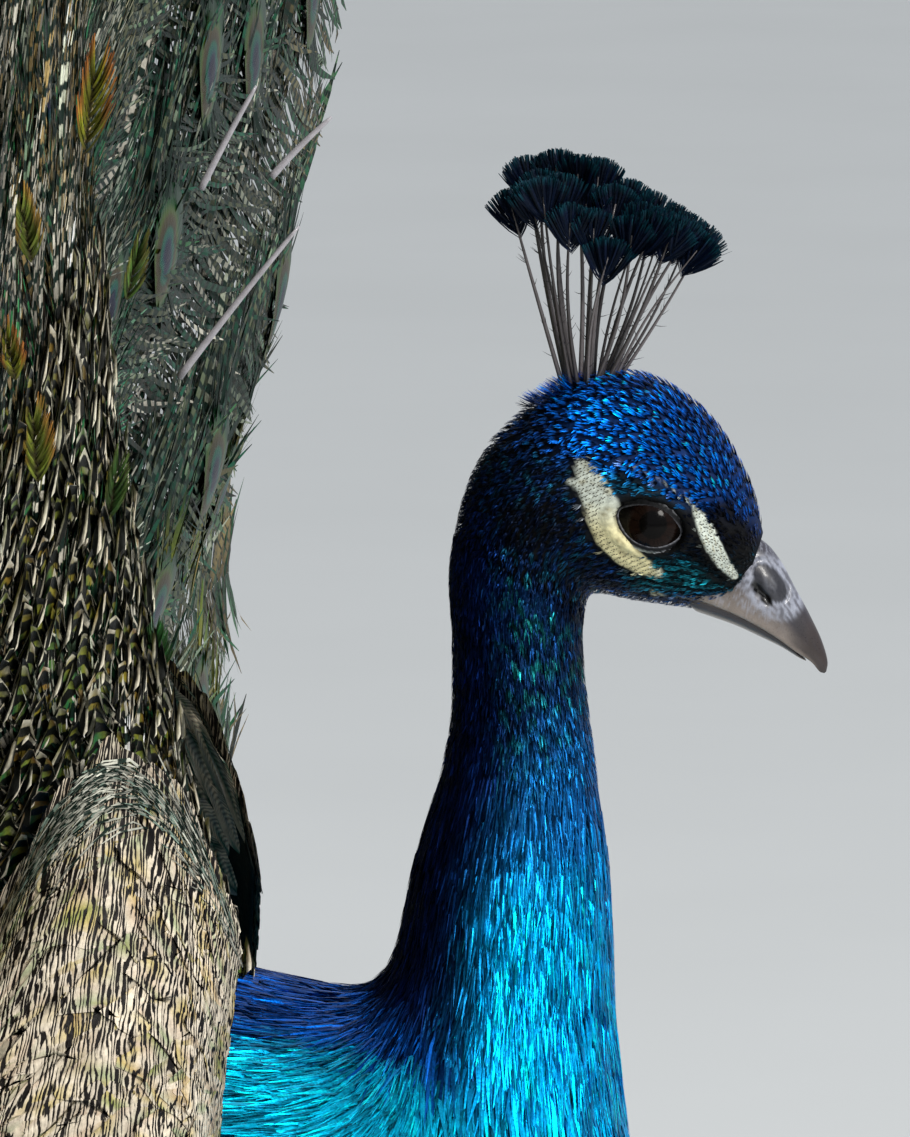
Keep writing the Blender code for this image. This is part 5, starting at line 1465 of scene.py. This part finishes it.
def joinThighs():
    # both thigh skins are united with the body's skin into one closed surface
    for side, label in ((1, "left"), (-1, "right")):
        ground = thighGround(side)
        p, q = np.meshgrid(np.linspace(0.985, 0.0, 40), turns(44), indexing="ij")
        rings = ground["point"](p, q, -ground["depth"](p))
        # the thigh skin takes the tufts' colour darkened, a painted shade in the gaps between them
        piece = makeTubes("thighSkin_" + label, rings[None], ground["colour"](rings, p, q)[None] * 0.6,
                          skinMaterial, (), ground["unwrap"](np.array([0.5]), np.array([3.1])),
                          (0.9, 0.02))
        join = skin.modifiers.new("join", "BOOLEAN")
        join.operation = "UNION"
        join.solver = "EXACT"
        join.object = piece
        bpy.context.view_layer.update()
        joined = bpy.data.meshes.new_from_object(skin.evaluated_get(bpy.context.evaluated_depsgraph_get()))
        skin.modifiers.clear()
        skin.data = joined
        bpy.data.objects.remove(piece)
        layTufts("thighTufts_" + label, thighTufts, ground, softMaterial)
    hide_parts("thigh_left", "thigh_right")
    points = np.empty(len(skin.data.vertices) * 3, np.float32)
    skin.data.vertices.foreach_get("co", points)
    # the bare part of the thighs, below the knee, takes their own colour
    low = ease(*leg["bareBelow"], (points[2::3] - birdOrigin[2]) * 1000)
    tint = skin.data.attributes["tint"]
    colour = np.empty((len(low), 4), np.float32)
    tint.data.foreach_get("color", colour.ravel())
    colour[:, :3] = toward(colour[:, :3], leg["buff"] * 0.45, low)
    tint.data.foreach_set("color", colour.ravel())
    print("thighs joined:", len(skin.data.polygons), "faces")


scuteMaterial = glossMaterial("scaly legs", 0.5, 0.1)
clawMaterial = glossMaterial("claws and spurs", 0.35, 0.3)


def scutes(along, q, pitch, front):  # plates that step up towards their lower edge, on the side named front
    saw = (along / pitch) % 1
    return (ease(0.0, 0.85, saw) - ease(0.88, 1.0, saw)) * ease(-0.1, 0.5, np.cos(q - front))


def scaly(rings, plates, seed):  # dark grooves between worn plates
    return layered(leg, "groove", ("scute", ease(0.05, 0.5, plates + 0.35 * ripple(rings, 3.0, seed) + 0.2)))


def makeLeg(label, side):
    mirror = np.array((1.0, side, 1.0))
    ankle, foot = np.array(leg["ankle"]), np.array(leg["foot"])
    # the shank: round sections from ankle to foot, with plates in front and smaller ones behind
    share = np.linspace(-0.03, 1.0, 150)[:, None]
    q = turns(28)
    along = share * np.linalg.norm(foot - ankle)
    plates = scutes(along, q, 6.2, 0) + 0.5 * scutes(along + 1.5, q, 3.1, math.pi)
    radius = np.interp(share, *np.transpose(leg["shank"])) * (1 + 0.07 * plates)
    circle = stacked(np.cos(q), np.sin(q), 0.12 * np.cos(q))
    rings = ankle + (foot - ankle) * share[..., None] + radius[..., None] * circle
    makeTubes("shank_" + label + "_scaly", (rings * mirror)[None], scaly(rings, plates, 92)[None], scuteMaterial,
              ("shank_" + label,))
    # the toes: straight tapered rolls with low joints, flat where they stand, about a hub below the shank
    angle, reach, thick = np.transpose(leg["toes"])
    direction = stacked(np.cos(np.radians(angle)), np.sin(np.radians(angle)), 0)
    t = np.linspace(0, 1, 70)
    q = turns(20)
    base = np.array((foot[0] + 3, foot[1], leg["toeHeight"]))
    path = base + direction[:, None] * (reach[:, None] * t - 2)[..., None]
    path[..., 2] += 3.0 * np.exp(-(t / 0.16) ** 2) + 0.5 * np.sin(t * 9) * (1 - t)
    plates = scutes((reach[:, None] * t)[..., None], q, 4.0, math.pi / 2)
    radius = thick[:, None] * np.interp(t, (0, 0.15, 0.7, 0.94, 1), (1.05, 0.95, 0.82, 0.72, 0.5))
    radius = radius[..., None] * (1 + 0.09 * plates)
    acrossToe = np.cross(direction, (0, 0, 1.0))[:, None, None]
    rings = path[:, :, None] + acrossToe * (np.cos(q) * radius)[..., None]
    rings = rings + np.array((0, 0, 1.0)) * (np.sin(q) * radius * 0.95)[..., None]
    rings[..., 2] = np.maximum(rings[..., 2], 0.05)
    hub = curveThrough(np.array(leg["hub"]), np.linspace(0, 4, len(t)))[:, None]
    hubRings = foot + hub[..., :3] + hub[..., 3:] * stacked(np.cos(q), np.sin(q), 0)
    hubColour = layered(leg, "groove", ("scute", ease(-0.2, 0.4, ripple(hubRings, 2.6, 94))))
    colour = np.concatenate((scaly(rings, plates, 93), hubColour[None]))
    rings = np.concatenate((rings, hubRings[None]))
    makeTubes("foot_" + label + "_scaly", rings * mirror, colour, scuteMaterial, ("foot_" + label,))
    # claws that curve down from the toes' ends, and a spur behind the shank
    t = np.linspace(0, 1, 16)
    start = base + direction * (reach - 5)[:, None]
    claws = start[:, None] + direction[:, None] * ((leg["clawLength"] + 3) * t)[:, None]
    claws[..., 2] += 0.6 * np.sin(math.pi * t) - 2.6 * t ** 2
    radii = np.interp(t, (0, 0.35, 0.75, 1), (3.0, 2.6, 1.4, 0.3)) * (thick / 5.6)[:, None]
    rings = tubeRings(claws, radii, 14)
    rings[..., 2] = np.maximum(rings[..., 2], 0.1)
    makeTubes("claws_" + label, rings * mirror, leg["claw"] * (0.8 + 0.5 * t[:, None, None]), clawMaterial,
              ["claw_" + name + "_" + label for name in leg["toeNames"]])
    base = ankle + (foot - ankle) * leg["spurAt"]
    spur = (base + np.array((-0.86, -0.42, 0.3)) * (leg["spurLength"] * t)[:, None]
            + np.array((0, 0, 2.2)) * (t ** 2)[:, None])
    rings = tubeRings((spur * mirror)[None], np.interp(t, (0, 0.3, 0.8, 1), (4.2, 3.4, 1.3, 0.4))[None], 18)
    makeTubes("spur_" + label + "_horn", rings, leg["spur"] * (1 - 0.4 * t[:, None, None]), clawMaterial,
              ("spur_" + label,))


for side, label in ((1, "left"), (-1, "right")):
    makeWing(label, side)
    makePrimaries(label, side)
    makeLeg(label, side)
joinThighs()
trunkTufts = dict(tuft, seed=16, count=2500, p=(0.3, 6.6), barbs=8, length=34, width=7.0, barbWidth=1.6,
                  sway=0.12, fray=0.06, contrast=0.25, rootShadeTipShine=(0.3, 0.7, 1.15, 1.25))
mantleTufts = dict(tuft, seed=17, count=1500, p=(5.4, 8.9), q=(-1.0, 1.0), barbs=8, length=14, width=2.6,
                   barbWidth=0.62, sway=0.07, contrast=0.30, rootShadeTipShine=(0.2, 0.6, 1.2, 1.35))
layTufts("trunkTufts", trunkTufts, bodyGround, softMaterial)
layTufts("mantleTufts", mantleTufts, bodyGround, coatMaterial)


# Camera, floor and lights

view = {"distance": 2.4, "azimuth": 2.0, "elevation": 9.0, "aim": (0.0, 0.0, 619.2), "shown": 0.2707, "film": 36}
studio = {"sky": (0.86, 0.90, 0.95, 1), "skyStrength": 0.75, "floorReach": 16000, "floorSteps": 41,
          "floor": paint(218, 219, 217), "floorDark": paint(210, 211, 209)}


def aimAt(thing, target):
    direction = thing.location - target
    thing.rotation_euler = direction.to_track_quat("Z", "Y").to_euler()


def makeCamera():
    target = bpy.data.objects.new("target", None).location
    target.xyz = place(view["aim"])
    azimuth, elevation = math.radians(view["azimuth"]), math.radians(view["elevation"])
    camera = bpy.data.objects.new("camera", bpy.data.cameras.new("camera"))
    camera.data.sensor_width = view["film"]
    camera.data.sensor_fit = "VERTICAL"
    camera.data.sensor_height = view["film"]
    camera.data.lens = view["film"] * view["distance"] / view["shown"]
    camera.data.clip_start = 0.05
    out = (math.sin(azimuth) * math.cos(elevation), -math.cos(azimuth) * math.cos(elevation),
           math.sin(elevation))
    camera.location = target + type(target)(out) * view["distance"]
    aimAt(camera, target)
    bpy.context.scene.collection.objects.link(camera)
    bpy.context.scene.camera = camera


def makeLight(name, where, target, size, power, colour):
    lamp = bpy.data.lights.new(name, "AREA")
    lamp.shape = "DISK"
    lamp.size = size
    lamp.energy = power
    lamp.color = colour
    made = bpy.data.objects.new(name, lamp)
    made.location = where
    aimAt(made, type(made.location)(target))
    bpy.context.scene.collection.objects.link(made)


def makeFloor():  # a flat grid, finest under the bird
    steps = np.linspace(-1, 1, studio["floorSteps"])
    x, y = np.meshgrid(*[np.sign(steps) * np.abs(steps) ** 2 * studio["floorReach"]] * 2, indexing="ij")
    points = stacked(x, y, -birdOrigin[2] * 1000).reshape(-1, 3)
    nodes = Nodes("pale floor")
    cloudy = nodes.noise(3, 3.0)
    nodes.finish(nodes.mix(cloudy, linear(studio["floor"]), linear(studio["floorDark"])),
                 nodes.span(cloudy, 0, 1, 0.75, 0.9))
    mesh = bpy.data.meshes.new("floor")
    mesh.from_pydata(place(points).tolist(), [], gridFaces(len(steps), len(steps))[:, ::-1].tolist())
    mesh.materials.append(nodes.material)
    floor = bpy.data.objects.new("floor", mesh)
    bpy.context.scene.collection.objects.link(floor)


makeCamera()
makeFloor()
makeLight("key", (2.2, -2.3, 2.5), (0.15, 0, 0.6), 1.1, 95, (1.0, 0.97, 0.92))
makeLight("fill", (-1.8, -2.8, 1.6), (0.1, 0, 0.6), 2.4, 14, (0.92, 0.96, 1.0))
makeLight("top", (0.3, 0.6, 3.2), (0.1, 0, 0.6), 2.0, 26, (1.0, 1.0, 1.0))
world = bpy.data.worlds.new("studio")
world.use_nodes = True
world.node_tree.nodes["Background"].inputs["Color"].default_value = studio["sky"]
world.node_tree.nodes["Background"].inputs["Strength"].default_value = studio["skyStrength"]
bpy.context.scene.world = world
bpy.context.scene.view_settings.view_transform = "Standard"
print("camera, floor and lights done")
